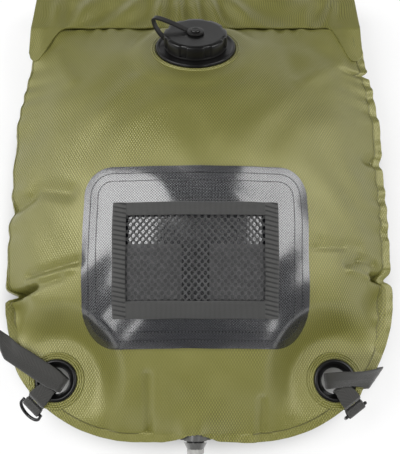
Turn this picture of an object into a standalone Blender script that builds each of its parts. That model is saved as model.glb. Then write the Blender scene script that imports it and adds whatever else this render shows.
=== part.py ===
# Camp shower bag, filled and lying on its back: the front faces up, the header points
# to +Y and the outlet to -Y. The origin is on the ground under the middle of the bag.

import math

import bmesh
import bpy
from mathutils import Matrix, Vector

# Welded sheets, in metres
WALL = 0.0012
SHEET_GAP = 0.0003
SEAM_FIN = 0.008
SMOOTH_ANGLE = math.radians(40)

# Outline of the filled bag at its seam
BODY_HALF_WIDTH = 0.192
TOP_HALF_WIDTH = 0.178
BOTTOM_HALF_WIDTH = 0.055
BODY_TOP_Y = 0.217
WIDEST_Y = 0.085
CORNER_START_Y = -0.080
BODY_BOTTOM_Y = -0.218

# Heights of the filled bag
SEAM_HEIGHT = 0.050
BOTTOM_SEAM_DROP = 0.002
FRONT_RISE = 0.091
BACK_DROP = 0.068
LENGTH_FULLNESS_SHARE = 2.3
WIDTH_FULLNESS_SHARE = 2.2
BACK_FULLNESS_SHARE = 2.6

# Mesh density of the two sheets
SHEET_COLUMNS = 24
SHEET_LONG_ROWS = 15
SHEET_CORNER_ROWS = 9
ROUND_STEPS = 32

# Filler, on the slope between the belly and the header
FILLER_Y = 0.171
FILLER_TILT = math.radians(31)
FLANGE_RADIUS = 0.042
FLANGE_THICKNESS = 0.0026
FLANGE_LIP = 0.0012
FLANGE_SEAT_MARGIN = 0.012
FLANGE_BLEND = 0.022
WELD_STEP = 0.008
NECK_RADIUS = 0.0272
NECK_WALL = 0.0030
NECK_HEIGHT = 0.0140
NECK_DEPTH = 0.0060
THREAD_PITCH = 0.0040
THREAD_TURNS = 1.4
THREAD_RIDGE = 0.0009
THREAD_START = 0.0072
THREAD_STEPS_PER_TURN = 16

# Screw cap
CAP_RADIUS = 0.0330
CAP_TOP_HEIGHT = 0.0180
CAP_TOP_THICKNESS = 0.0026
CAP_SKIRT_BOTTOM = 0.0062
CAP_EDGE = 0.0010
CAP_FLUTES = 8
FLUTE_RADIUS = 0.0150
FLUTE_DEPTH = 0.0014
GASKET_THICKNESS = 0.0007
BUTTON_HEAD_RADIUS = 0.0050
BUTTON_POST_RADIUS = 0.0028
BUTTON_HEAD_HEIGHT = 0.0016

# Cap tether
TETHER_WIDTH = 0.0066
TETHER_THICKNESS = 0.0018
TETHER_EYE_RADIUS = 0.0088
COLLAR_RADIUS = 0.0325
COLLAR_THICKNESS = 0.0020
TETHER_LEAN = math.radians(160)
TETHER_REACH = 0.0140
TETHER_ARCH = 0.0080
TETHER_STEPS = 14
TETHER_FALL_SHARE = 0.4
TETHER_ARCH_SHARE = 0.8

# Front patch and the pocket on it
PATCH_HALF_WIDTH = 0.1035
PATCH_TOP_Y = 0.024
PATCH_BOTTOM_Y = -0.141
PATCH_CORNER = 0.032
PATCH_THICKNESS = 0.0009
POCKET_HALF_WIDTH = 0.0725
POCKET_TOP_Y = -0.012
POCKET_BOTTOM_Y = -0.114
SIDE_BINDING = 0.0115
TOP_BINDING = 0.0105
BOTTOM_BINDING = 0.0130
BINDING_THICKNESS = 0.0013
INNER_POCKET_TOP_Y = -0.050
INNER_POCKET_SPLIT = 0.012
INNER_POCKET_THICKNESS = 0.0007
NET_THICKNESS = 0.0008
NET_STRAND = 0.0011
NET_COLUMNS = 10
NET_ROWS = 8
SLOPE_STEP = 0.003
BINDING_ROOM = 0.0005
PATCH_ROOM = 0.0009

# Corner eyelets
EYELET_INSET = 0.056
EYELET_RISE = 0.0495
EYELET_X = BODY_HALF_WIDTH - EYELET_INSET
EYELET_Y = BODY_BOTTOM_Y + EYELET_RISE
EYELET_HOLE = 0.0125
EYELET_DISH = 0.0175
EYELET_BARREL = 0.0185
EYELET_FLANGE = 0.0206
EYELET_FLANGE_THICKNESS = 0.0016
EYELET_FLAT = 0.039
EYELET_BLEND = 0.036

# Webbing and D rings at the corners
WEBBING_WIDTH = 0.020
WEBBING_THICKNESS = 0.0014
WEBBING_PINCH_SHARE = 0.6
WEBBING_PINCH_RUN = 0.016
LOOP_INNER_REACH = -0.0080
LOOP_STACK = 0.0019
TAB_INNER_REACH = 0.0070
LOOP_TURN = 0.0022
LOOP_RIM_SHARE = 0.75
LOOP_STEPS = 6
LOOP_ROOM = 0.0011
LOOP_MARGIN = 0.0135
LEFT_LOOP_HEADING = math.radians(148)
RIGHT_LOOP_HEADING = math.radians(4)
LEFT_TAB_HEADING = math.radians(227)
RIGHT_TAB_HEADING = math.radians(306)
TAB_ROOT_REACH = 0.0272
TAB_ROOM = 0.0007
TAB_LENGTH = 0.0097
TAB_PINCH_SHARE = 0.8
TAB_FOLD_STEPS = 6
TAB_DROOP = math.radians(40)
RING_WIRE = 0.0016
RING_DEPTH = 0.0115
RING_BAR_STEPS = 4
RING_SHOULDER = 0.0045
LEFT_RING_DROOP = math.radians(38)
RIGHT_RING_DROOP = math.radians(80)

# Header sleeve
HEADER_HALF_WIDTH = 0.186
HEADER_LENGTH = 0.0557
HEADER_DROOP = math.radians(21)
HEADER_THICKNESS = 0.0110
HEADER_ROOT_THICKNESS = 0.0046
HEADER_COLUMNS = 12

# Outlet in the bottom seam
SPOUT_HALF_WIDTH = 0.0145
SPOUT_HALF_HEIGHT = 0.0106
SPOUT_INSET = 0.013
SPOUT_WING_REACH = 0.0055
SPOUT_INNER_Y = BODY_BOTTOM_Y + SPOUT_INSET
SPOUT_WING_Y = BODY_BOTTOM_Y - SPOUT_WING_REACH
BARREL_RADIUS = 0.0110
BARREL_REACH = 0.0065
BARREL_END_Y = BODY_BOTTOM_Y - BARREL_REACH
BORE_RADIUS = 0.0036
SPIGOT_RADIUS = 0.0062
TIP_RADIUS = 0.0050
SPIGOT_REACH = 0.0172
SPIGOT_END_Y = BODY_BOTTOM_Y - SPIGOT_REACH
WASHER_THICKNESS = 0.0008
WASHER_RADIUS = 0.0085
NUT_END_RADIUS = 0.0082
NUT_LENGTH = 0.0056
PLUG_RADIUS = 0.0081
PLUG_LENGTH = 0.0070
ARCH_CLEARANCE = 0.0012
ARCH_HALF_WIDTH = 0.0165
ARCH_LENGTH = 0.035

# Room between parts that touch, and overrun of cutters
CLEARANCE = 0.0003
OVERRUN = 0.002

BODY_MIDDLE_Y = (BODY_TOP_Y + BODY_BOTTOM_Y) / 2
BODY_HALF_LENGTH = (BODY_TOP_Y - BODY_BOTTOM_Y) / 2
SHEET_OFFSET = (WALL + SHEET_GAP) / 2


def clear_scene():
    for item in list(bpy.data.objects):
        bpy.data.objects.remove(item)


def named_collection(name):
    collection = bpy.data.collections.new(name)
    bpy.context.scene.collection.children.link(collection)
    return collection


def finish(name, colour, roughness, metallic=0.0):
    material = bpy.data.materials.new(name)
    material.use_nodes = True
    shader = material.node_tree.nodes["Principled BSDF"]
    shader.inputs["Base Color"].default_value = (*colour, 1.0)
    shader.inputs["Roughness"].default_value = roughness
    shader.inputs["Metallic"].default_value = metallic
    return material


def add_part(name, mesh, material, parent=None):
    part = bpy.data.objects.new(name, mesh)
    PARTS.objects.link(part)
    part.parent = parent
    mesh.materials.clear()
    mesh.materials.append(material)
    mesh.shade_smooth()
    mesh.set_sharp_from_angle(angle=SMOOTH_ANGLE)
    return part


def mesh_from(name, bm):
    bmesh.ops.recalc_face_normals(bm, faces=bm.faces)
    mesh = bpy.data.meshes.new(name)
    bm.to_mesh(mesh)
    bm.free()
    return mesh


def add_empty(name, location, rotation, parent=None):
    empty = bpy.data.objects.new(name, None)
    PARTS.objects.link(empty)
    empty.location = location
    empty.rotation_euler = rotation
    empty.parent = parent
    return empty


def thicken(part, thickness, offset=0.0):
    wall = part.modifiers.new("Wall", "SOLIDIFY")
    wall.thickness = thickness
    wall.offset = offset
    wall.use_even_offset = True
    return wall


def smoothstep(value):
    value = min(max(value, 0.0), 1.0)
    return value * value * (3 - 2 * value)


# Surface of the filled bag


def half_width(y):
    if y > WIDEST_Y:
        share = smoothstep((y - WIDEST_Y) / (BODY_TOP_Y - WIDEST_Y))
        return BODY_HALF_WIDTH + (TOP_HALF_WIDTH - BODY_HALF_WIDTH) * share
    if y >= CORNER_START_Y:
        return BODY_HALF_WIDTH
    share = min((CORNER_START_Y - y) / (CORNER_START_Y - BODY_BOTTOM_Y), 1.0)
    return BOTTOM_HALF_WIDTH + (BODY_HALF_WIDTH - BOTTOM_HALF_WIDTH) * math.sqrt(1 - share * share)


def seam_height(y):
    if y > 0:
        return SEAM_HEIGHT
    return SEAM_HEIGHT - BOTTOM_SEAM_DROP * min(y / BODY_BOTTOM_Y, 1.0) ** 2


def length_fullness(y):
    share = min(abs(y - BODY_MIDDLE_Y) / BODY_HALF_LENGTH, 1.0)
    return 1 - share**LENGTH_FULLNESS_SHARE


def width_fullness(x, y, power):
    return 1 - min(abs(x) / half_width(y), 1.0) ** power


def eyelet_flatness(x, y):
    reach = math.hypot(abs(x) - EYELET_X, y - EYELET_Y)
    return 1 - smoothstep((reach - EYELET_FLAT) / EYELET_BLEND)


def outlet_arch(x, y):
    height = SPOUT_HALF_HEIGHT + ARCH_CLEARANCE
    along = smoothstep((BODY_BOTTOM_Y + ARCH_LENGTH - y) / ARCH_LENGTH)
    return height * along * math.exp(-((x / ARCH_HALF_WIDTH) ** 2))


def plain_front_height(x, y):
    rise = FRONT_RISE * length_fullness(y) * width_fullness(x, y, WIDTH_FULLNESS_SHARE)
    return seam_height(y) + SHEET_OFFSET + rise


def filler_flatness(x, y):
    reach = math.hypot(x, (y - FILLER_Y) / math.cos(FILLER_TILT))
    flat = 1 - smoothstep((reach - FLANGE_RADIUS - FLANGE_SEAT_MARGIN) / FLANGE_BLEND)
    return flat * smoothstep((BODY_TOP_Y - y) / WELD_STEP)


def front_height(x, y):
    height = plain_front_height(x, y)
    flat = filler_flatness(x, y)
    plane = plain_front_height(0, FILLER_Y) - (y - FILLER_Y) * math.tan(FILLER_TILT)
    height += (plane - height) * flat
    height += (seam_height(EYELET_Y) + SHEET_OFFSET - height) * eyelet_flatness(x, y)
    return height + outlet_arch(x, y)


def back_height(x, y):
    drop = BACK_DROP * length_fullness(y) * width_fullness(x, y, BACK_FULLNESS_SHARE)
    height = seam_height(y) - SHEET_OFFSET - drop
    height += (seam_height(EYELET_Y) - SHEET_OFFSET - height) * eyelet_flatness(x, y)
    return max(height, WALL / 2) - outlet_arch(x, y)


def off_surface(surface, x, y, offset):
    slope_x = (surface(x + SLOPE_STEP, y) - surface(x - SLOPE_STEP, y)) / (2 * SLOPE_STEP)
    slope_y = (surface(x, y + SLOPE_STEP) - surface(x, y - SLOPE_STEP)) / (2 * SLOPE_STEP)
    stretch = math.sqrt(1 + slope_x * slope_x + slope_y * slope_y)
    return Vector((x, y, surface(x, y) + offset * stretch))


def outline_normal(x, y):
    if y <= BODY_BOTTOM_Y:
        return Vector((0, -1))
    step = (y - BODY_BOTTOM_Y) / SHEET_CORNER_ROWS / 8
    slope = (half_width(y + step) - half_width(y - step)) / (2 * step)
    return Vector((math.copysign(1, x), -slope)).normalized()


def sheet_rows():
    rows = []
    for row in range(SHEET_LONG_ROWS):
        share = row / SHEET_LONG_ROWS
        rows.append(BODY_TOP_Y + (CORNER_START_Y - BODY_TOP_Y) * share)
    rows[1:1] = [BODY_TOP_Y - WELD_STEP]
    for row in range(SHEET_CORNER_ROWS + 1):
        angle = math.pi / 2 * row / SHEET_CORNER_ROWS
        rows.append(CORNER_START_Y + (BODY_BOTTOM_Y - CORNER_START_Y) * math.sin(angle))
    return rows


def sheet_mesh(name, height):
    bm = bmesh.new()
    grid = []
    for y in sheet_rows():
        line = []
        for column in range(SHEET_COLUMNS + 1):
            share = 2 * column / SHEET_COLUMNS - 1
            x = half_width(y) * share
            line.append(bm.verts.new((x, y, height(x, y))))
        grid.append(line)
    for upper, lower in zip(grid, grid[1:]):
        for column in range(SHEET_COLUMNS):
            bm.faces.new((upper[column], upper[column + 1], lower[column + 1], lower[column]))
    bmesh.ops.triangulate(bm, faces=bm.faces, quad_method="FIXED")
    rim = [line[0] for line in grid] + grid[-1][1:] + [line[-1] for line in reversed(grid[:-1])]
    edges = [bm.edges.get((first, second)) for first, second in zip(rim, rim[1:])]
    grown = bmesh.ops.extrude_edge_only(bm, edges=edges)["geom"]
    for vertex in [item for item in grown if isinstance(item, bmesh.types.BMVert)]:
        normal = outline_normal(vertex.co.x, vertex.co.y)
        width = SEAM_FIN
        if normal.x == 0:
            width *= 1 - math.exp(-((vertex.co.x / ARCH_HALF_WIDTH) ** 2))
        vertex.co.x += normal.x * width
        vertex.co.y += normal.y * width
        vertex.co.z = height(vertex.co.x, vertex.co.y)
    return mesh_from(name, bm)


# Cutters


def disc_cutter(name, radius, depth, matrix):
    bm = bmesh.new()
    bmesh.ops.create_cone(
        bm, cap_ends=True, segments=ROUND_STEPS, radius1=radius, radius2=radius, depth=depth, matrix=matrix
    )
    cutter = bpy.data.objects.new(name, mesh_from(name, bm))
    return keep_as_cutter(cutter)


def keep_as_cutter(cutter):
    CUTTERS.objects.link(cutter)
    cutter.hide_render = True
    cutter.display_type = "WIRE"
    return cutter


def boolean(part, cutter, operation):
    cut = part.modifiers.new(operation.title(), "BOOLEAN")
    cut.operation = operation
    cut.object = cutter
    return cut


# Turned parts


def turned(name, profile, material, parent=None, steps=ROUND_STEPS):
    bm = bmesh.new()
    corners = [bm.verts.new((radius, 0, height)) for radius, height in profile]
    for first, second in zip(corners, corners[1:]):
        bm.edges.new((first, second))
    if profile[0][0] > 0:
        bm.edges.new((corners[-1], corners[0]))
    mesh = bpy.data.meshes.new(name)
    bm.to_mesh(mesh)
    bm.free()
    part = add_part(name, mesh, material, parent)
    screw = part.modifiers.new("Turn", "SCREW")
    screw.steps = steps
    screw.render_steps = steps
    screw.use_merge_vertices = True
    screw.merge_threshold = 0.00001
    return part


# Ribbons and draped patches


def ribbon(name, stations, thickness, material, closed=False, parent=None):
    bm = bmesh.new()
    lines = [[bm.verts.new(point) for point in station] for station in stations]
    pairs = list(zip(lines, lines[1:]))
    if closed:
        pairs.append((lines[-1], lines[0]))
    for first, second in pairs:
        for index in range(len(first) - 1):
            bm.faces.new((first[index], first[index + 1], second[index + 1], second[index]))
    bmesh.ops.triangulate(bm, faces=bm.faces, quad_method="FIXED")
    part = add_part(name, mesh_from(name, bm), material, parent)
    thicken(part, thickness)
    return part


def draped(name, outline, offset, thickness, material, corner=0.0):
    """A patch on the front sheet's own grid, so that their facets stay one gap apart."""
    left, right, top, bottom = outline
    rows = sheet_rows()
    first = max(index for index, y in enumerate(rows) if y > top)
    last = min(index for index, y in enumerate(rows) if y < bottom)
    narrow = min(half_width(y) for y in rows[first : last + 1])
    shares = [2 * column / SHEET_COLUMNS - 1 for column in range(SHEET_COLUMNS + 1)]
    start = max(index for index, share in enumerate(shares) if narrow * share < left)
    end = min(index for index, share in enumerate(shares) if narrow * share > right)
    stations = []
    for y in rows[first : last + 1]:
        line = [half_width(y) * share for share in shares[start : end + 1]]
        stations.append([off_surface(front_height, x, y, offset) for x in line])
    patch = ribbon(name, stations, thickness, material)
    boolean(patch, outline_cutter(name + "_cutter", outline, corner), "INTERSECT")
    return patch


def outline_cutter(name, outline, corner):
    left, right, top, bottom = outline
    curve = bpy.data.curves.new(name, "CURVE")
    curve.dimensions = "2D"
    curve.fill_mode = "BOTH"
    curve.extrude = 2 * (FRONT_RISE + SEAM_HEIGHT)
    centres = (
        (right - corner, top - corner),
        (left + corner, top - corner),
        (left + corner, bottom + corner),
        (right - corner, bottom + corner),
    )
    steps = ROUND_STEPS // 4 if corner else 0
    points = []
    for quarter, (centre_x, centre_y) in enumerate(centres):
        for step in range(steps + 1):
            angle = math.pi / 2 * (quarter + step / max(steps, 1))
            points.append((centre_x + corner * math.cos(angle), centre_y + corner * math.sin(angle)))
    spline = curve.splines.new("POLY")
    spline.points.add(len(points) - 1)
    for point, place in zip(spline.points, points):
        point.co = (*place, 0, 1)
    spline.use_cyclic_u = True
    return keep_as_cutter(mesh_of_curve(name, curve, None))


def mesh_of_curve(name, curve, parent):
    draft = bpy.data.objects.new(name + "_draft", curve)
    bpy.context.scene.collection.objects.link(draft)
    draft.parent = parent
    bpy.context.view_layer.update()
    shown = draft.evaluated_get(bpy.context.evaluated_depsgraph_get())
    mesh = bpy.data.meshes.new_from_object(shown)
    bm = bmesh.new()
    bm.from_mesh(mesh)
    bmesh.ops.remove_doubles(bm, verts=bm.verts, dist=0.00001)
    bmesh.ops.recalc_face_normals(bm, faces=bm.faces)
    bm.to_mesh(mesh)
    bm.free()
    result = bpy.data.objects.new(name, mesh)
    bpy.data.objects.remove(draft)
    return result


def make_sheets():
    front = add_part("front_panel", sheet_mesh("front_panel", front_height), FABRIC)
    thicken(front, WALL)
    back = add_part("back_panel", sheet_mesh("back_panel", back_height), FABRIC)
    thicken(back, WALL)
    for side, name in ((-1, "left"), (1, "right")):
        place = Matrix.Translation((side * EYELET_X, EYELET_Y, SEAM_HEIGHT))
        hole = disc_cutter(name + "_eyelet_cutter", EYELET_BARREL + CLEARANCE, SEAM_HEIGHT, place)
        boolean(front, hole, "DIFFERENCE")
        boolean(back, hole, "DIFFERENCE")
    neck = disc_cutter(
        "filler_hole_cutter", NECK_RADIUS + CLEARANCE, NECK_HEIGHT + NECK_DEPTH, filler_frame()
    )
    boolean(front, neck, "DIFFERENCE")


def filler_frame():
    place = Matrix.Translation((0, FILLER_Y, plain_front_height(0, FILLER_Y)))
    return place @ Matrix.Rotation(-FILLER_TILT, 4, "X")


def make_header():
    slope = Vector((math.cos(HEADER_DROOP), -math.sin(HEADER_DROOP)))
    up = Vector((math.sin(HEADER_DROOP), math.cos(HEADER_DROOP)))
    start = Vector((BODY_TOP_Y + WALL / 2 + CLEARANCE, seam_height(BODY_TOP_Y)))
    steps = ROUND_STEPS // 4
    loop = []
    for step in range(steps + 1):
        share = step / steps
        along = (HEADER_LENGTH - HEADER_THICKNESS / 2) * share
        half = (HEADER_ROOT_THICKNESS + (HEADER_THICKNESS - HEADER_ROOT_THICKNESS) * smoothstep(share)) / 2
        loop.append((along, half))
    for step in range(1, steps):
        angle = math.pi / 2 - math.pi * step / steps
        along = HEADER_LENGTH - HEADER_THICKNESS / 2 + math.cos(angle) * HEADER_THICKNESS / 2
        loop.append((along, math.sin(angle) * HEADER_THICKNESS / 2))
    loop += [(along, -half) for along, half in reversed(loop[: steps + 1])]
    stations = []
    for along, rise in loop:
        place = start + slope * along + up * rise
        if along == 0:
            place.x = start.x
        line = []
        for column in range(HEADER_COLUMNS + 1):
            x = HEADER_HALF_WIDTH * (2 * column / HEADER_COLUMNS - 1)
            line.append(Vector((x, place.x, place.y)))
        stations.append(line)
    sleeve = ribbon("header_sleeve", stations, WALL, FABRIC, closed=True)
    sleeve.modifiers["Wall"].offset = -1
    return sleeve


def make_patch():
    offset = WALL / 2 + PATCH_ROOM + PATCH_THICKNESS / 2
    outline = (-PATCH_HALF_WIDTH, PATCH_HALF_WIDTH, PATCH_TOP_Y, PATCH_BOTTOM_Y)
    draped("front_patch", outline, offset, PATCH_THICKNESS, GLOSS, PATCH_CORNER)
    return offset + PATCH_THICKNESS / 2


def make_pocket(surface):
    lining = surface + CLEARANCE + INNER_POCKET_THICKNESS / 2
    edge = POCKET_HALF_WIDTH - OVERRUN
    low = POCKET_BOTTOM_Y + OVERRUN
    left = (-edge, -INNER_POCKET_SPLIT, INNER_POCKET_TOP_Y, low)
    right = (INNER_POCKET_SPLIT, edge, INNER_POCKET_TOP_Y, low)
    draped("inner_pocket_left", left, lining, INNER_POCKET_THICKNESS, LINING)
    draped("inner_pocket_right", right, lining, INNER_POCKET_THICKNESS, LINING)
    net = lining + INNER_POCKET_THICKNESS / 2 + CLEARANCE + NET_THICKNESS / 2
    make_net(net)
    band = net + NET_THICKNESS / 2 + BINDING_ROOM + BINDING_THICKNESS / 2
    top_edge = POCKET_TOP_Y - TOP_BINDING
    bottom_edge = POCKET_BOTTOM_Y + BOTTOM_BINDING
    inner = POCKET_HALF_WIDTH - SIDE_BINDING
    bindings = {
        "pocket_top_binding": (-POCKET_HALF_WIDTH, POCKET_HALF_WIDTH, POCKET_TOP_Y, top_edge),
        "pocket_bottom_binding": (-POCKET_HALF_WIDTH, POCKET_HALF_WIDTH, bottom_edge, POCKET_BOTTOM_Y),
        "pocket_left_binding": (-POCKET_HALF_WIDTH, -inner, top_edge - CLEARANCE, bottom_edge + CLEARANCE),
        "pocket_right_binding": (inner, POCKET_HALF_WIDTH, top_edge - CLEARANCE, bottom_edge + CLEARANCE),
    }
    for name, outline in bindings.items():
        draped(name, outline, band, BINDING_THICKNESS, BINDING)


def make_net(offset):
    half = POCKET_HALF_WIDTH - SIDE_BINDING / 2
    top = POCKET_TOP_Y - TOP_BINDING / 2
    bottom = POCKET_BOTTOM_Y + BOTTOM_BINDING / 2
    pitch_x = 2 * half / NET_COLUMNS
    pitch_y = (top - bottom) / NET_ROWS
    bm = bmesh.new()
    knots = {}

    def knot(column, row):
        if (column, row) not in knots:
            x = -half + pitch_x * column / 2
            y = top - pitch_y * row / 2
            knots[column, row] = bm.verts.new(off_surface(front_height, x, y, offset))
        return knots[column, row]

    for row in range(2 * NET_ROWS - 1):
        for column in range(row % 2, 2 * NET_COLUMNS - 1, 2):
            corners = (
                knot(column + 1, row),
                knot(column + 2, row + 1),
                knot(column + 1, row + 2),
                knot(column, row + 1),
            )
            bm.faces.new(corners)
    gaps = list(bm.faces)
    bm.normal_update()
    bmesh.ops.inset_individual(bm, faces=gaps, thickness=NET_STRAND, use_even_offset=True)
    bmesh.ops.delete(bm, geom=gaps, context="FACES")
    part = add_part("pocket_mesh", mesh_from("pocket_mesh", bm), NET)
    thicken(part, NET_THICKNESS)


def helix_ridge(name, radius, start, turns, parent):
    curve = bpy.data.curves.new(name, "CURVE")
    curve.dimensions = "3D"
    curve.bevel_depth = THREAD_RIDGE
    curve.bevel_resolution = 1
    curve.use_fill_caps = True
    spline = curve.splines.new("POLY")
    count = round(turns * THREAD_STEPS_PER_TURN)
    spline.points.add(count)
    for index, point in enumerate(spline.points):
        angle = 2 * math.pi * index / THREAD_STEPS_PER_TURN
        height = start + THREAD_PITCH * angle / (2 * math.pi)
        point.co = (radius * math.cos(angle), radius * math.sin(angle), height, 1)
    ridge = mesh_of_curve(name, curve, None)
    ridge.parent = parent
    return keep_as_cutter(ridge)


def make_filler(axis):
    seat = WALL / 2 + CLEARANCE
    flange_top = seat + FLANGE_THICKNESS
    inner = NECK_RADIUS - NECK_WALL
    profile = [
        (NECK_RADIUS, NECK_HEIGHT),
        (NECK_RADIUS, flange_top),
        (FLANGE_RADIUS - 2 * FLANGE_LIP, flange_top - FLANGE_LIP / 2),
        (FLANGE_RADIUS - FLANGE_LIP, flange_top),
        (FLANGE_RADIUS, flange_top - FLANGE_LIP),
        (FLANGE_RADIUS, seat),
        (NECK_RADIUS, seat),
        (NECK_RADIUS, -NECK_DEPTH),
        (inner, -NECK_DEPTH),
        (inner, NECK_HEIGHT),
    ]
    flange = turned("filler_neck", profile, MOULDING, axis)
    ridge = helix_ridge("neck_thread", NECK_RADIUS, THREAD_START, THREAD_TURNS, axis)
    boolean(flange, ridge, "UNION")
    return flange_top


def make_cap(axis):
    bore = NECK_RADIUS + THREAD_RIDGE + 2 * CLEARANCE
    under = CAP_TOP_HEIGHT - CAP_TOP_THICKNESS
    profile = [
        (0, CAP_TOP_HEIGHT),
        (CAP_RADIUS - CAP_EDGE, CAP_TOP_HEIGHT),
        (CAP_RADIUS, CAP_TOP_HEIGHT - CAP_EDGE),
        (CAP_RADIUS, CAP_SKIRT_BOTTOM),
        (bore, CAP_SKIRT_BOTTOM),
        (bore, under),
        (0, under),
    ]
    cap = turned("filler_cap", profile, MOULDING, axis, steps=2 * ROUND_STEPS)
    for index in range(CAP_FLUTES):
        angle = 2 * math.pi * (index + 0.5) / CAP_FLUTES
        reach = CAP_RADIUS + FLUTE_RADIUS - FLUTE_DEPTH
        place = Matrix.Translation((reach * math.cos(angle), reach * math.sin(angle), CAP_TOP_HEIGHT / 2))
        flute = disc_cutter(f"cap_flute_{index + 1}", FLUTE_RADIUS, CAP_TOP_HEIGHT + 2 * OVERRUN, place)
        flute.parent = axis
        boolean(cap, flute, "DIFFERENCE")
    ridge = helix_ridge("cap_thread", bore, THREAD_START + THREAD_PITCH / 2, THREAD_TURNS, axis)
    boolean(cap, ridge, "UNION")
    gasket_bottom = under - CLEARANCE - GASKET_THICKNESS
    turned(
        "cap_gasket",
        [
            (NECK_RADIUS, under - CLEARANCE),
            (NECK_RADIUS, gasket_bottom),
            (NECK_RADIUS - NECK_WALL, gasket_bottom),
            (NECK_RADIUS - NECK_WALL, under - CLEARANCE),
        ],
        SEAL,
        axis,
    )


def make_tether(axis, flange_top):
    eye_bottom = CAP_TOP_HEIGHT + CLEARANCE
    eye_top = eye_bottom + TETHER_THICKNESS
    hole = BUTTON_POST_RADIUS + CLEARANCE
    turned(
        "tether_eye",
        [
            (TETHER_EYE_RADIUS, eye_top),
            (TETHER_EYE_RADIUS, eye_bottom),
            (hole, eye_bottom),
            (hole, eye_top),
        ],
        TETHER,
        axis,
    )
    head_bottom = eye_top + CLEARANCE
    turned(
        "cap_button",
        [
            (0, head_bottom + BUTTON_HEAD_HEIGHT),
            (BUTTON_HEAD_RADIUS - CAP_EDGE, head_bottom + BUTTON_HEAD_HEIGHT),
            (BUTTON_HEAD_RADIUS, head_bottom),
            (BUTTON_POST_RADIUS, head_bottom),
            (BUTTON_POST_RADIUS, eye_bottom),
            (0, eye_bottom),
        ],
        MOULDING,
        axis,
    )
    collar_bottom = flange_top + CLEARANCE
    collar_top = collar_bottom + COLLAR_THICKNESS
    collar_inner = NECK_RADIUS + CLEARANCE
    turned(
        "tether_collar",
        [
            (COLLAR_RADIUS, collar_top),
            (COLLAR_RADIUS, collar_bottom),
            (collar_inner, collar_bottom),
            (collar_inner, collar_top),
        ],
        TETHER,
        axis,
    )
    outward = Vector((math.cos(TETHER_LEAN), math.sin(TETHER_LEAN), 0))
    side = Vector((-outward.y, outward.x, 0)) * TETHER_WIDTH / 2
    start = TETHER_EYE_RADIUS + CLEARANCE
    end = COLLAR_RADIUS + TETHER_THICKNESS / 2
    eye_level = (eye_bottom + eye_top) / 2
    collar_level = (collar_bottom + collar_top) / 2
    stations = []
    for step in range(TETHER_STEPS + 1):
        share = step / TETHER_STEPS
        reach = start + (CAP_RADIUS - start) * smoothstep(share * 2) + TETHER_REACH * math.sin(math.pi * share) ** 2
        reach += (end - CAP_RADIUS) * smoothstep(share * 2 - 1)
        fall = smoothstep((share - TETHER_FALL_SHARE) / (1 - TETHER_FALL_SHARE))
        level = eye_level + (collar_level - eye_level) * fall
        level += TETHER_ARCH * math.sin(math.pi * min(share / TETHER_ARCH_SHARE, 1.0)) ** 2
        centre = outward * reach + Vector((0, 0, level))
        stations.append([centre - side, centre + side])
    ribbon("tether_strap", stations, TETHER_THICKNESS, TETHER, parent=axis)


def make_eyelet(side, name):
    seam = seam_height(EYELET_Y)
    centre = (side * EYELET_X, EYELET_Y, 0)
    axis = add_empty(name + "_eyelet_axis", centre, (0, 0, 0))
    half = SHEET_OFFSET + WALL / 2 + CLEARANCE
    top = seam + half
    bottom = seam - half
    lip = EYELET_FLANGE_THICKNESS
    turned(
        name + "_eyelet",
        [
            (EYELET_BARREL, top + lip),
            (EYELET_FLANGE, top + lip / 2),
            (EYELET_FLANGE, top),
            (EYELET_BARREL, top),
            (EYELET_BARREL, bottom - lip),
            (EYELET_HOLE, bottom - lip),
            (EYELET_DISH, top + lip / 2),
        ],
        MOULDING,
        axis,
    )
    turned(
        name + "_eyelet_washer",
        [
            (EYELET_FLANGE, bottom),
            (EYELET_FLANGE, bottom - lip),
            (EYELET_BARREL + CLEARANCE, bottom - lip),
            (EYELET_BARREL + CLEARANCE, bottom),
        ],
        MOULDING,
        axis,
    )


def edge_reach(place, outward):
    reach = EYELET_FLANGE
    margin = LOOP_MARGIN
    while True:
        point = place + outward * reach
        if point.y < BODY_BOTTOM_Y - margin or abs(point.x) > half_width(point.y) + margin:
            return reach
        reach += SLOPE_STEP


def pinched(run):
    """Share of its width that webbing keeps where it is gathered in the eyelet."""
    return WEBBING_PINCH_SHARE + (1 - WEBBING_PINCH_SHARE) * smoothstep(run / WEBBING_PINCH_RUN)


def webbing_loop(name, side, heading, inner, stack=0.0, length=None):
    outward = Vector((math.cos(heading), math.sin(heading)))
    across = Vector((-outward.y, outward.x)) * WEBBING_WIDTH / 2
    centre = Vector((side * EYELET_X, EYELET_Y))
    lift = WALL / 2 + EYELET_FLANGE_THICKNESS + LOOP_ROOM + WEBBING_THICKNESS / 2 + stack
    rims = (LOOP_RIM_SHARE * (SHEET_OFFSET + lift), WEBBING_THICKNESS / 2 + CLEARANCE)
    lines = []
    for share in (-1, 0, 1):
        reach = length or edge_reach(centre + across * share, outward)
        line = []
        for surface, sign in ((front_height, 1), (back_height, -1)):
            ends = []
            for along, rim in zip((inner, reach), rims):
                spot = centre + across * share * pinched(along - inner) + outward * along
                ends.append(Vector((*spot, seam_height(EYELET_Y) + sign * rim)))
            run = []
            for step in range(LOOP_STEPS + 1):
                along = inner + LOOP_TURN
                along += (reach - LOOP_TURN - along) * step / LOOP_STEPS
                spot = centre + across * share * pinched(along - inner) + outward * along
                run.append(off_surface(surface, spot.x, spot.y, sign * lift))
            half = [ends[0], *run, ends[1]]
            line += half if sign > 0 else reversed(half)
        lines.append(line)
    ribbon(name, list(zip(*lines)), WEBBING_THICKNESS, WEBBING, closed=True)


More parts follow.
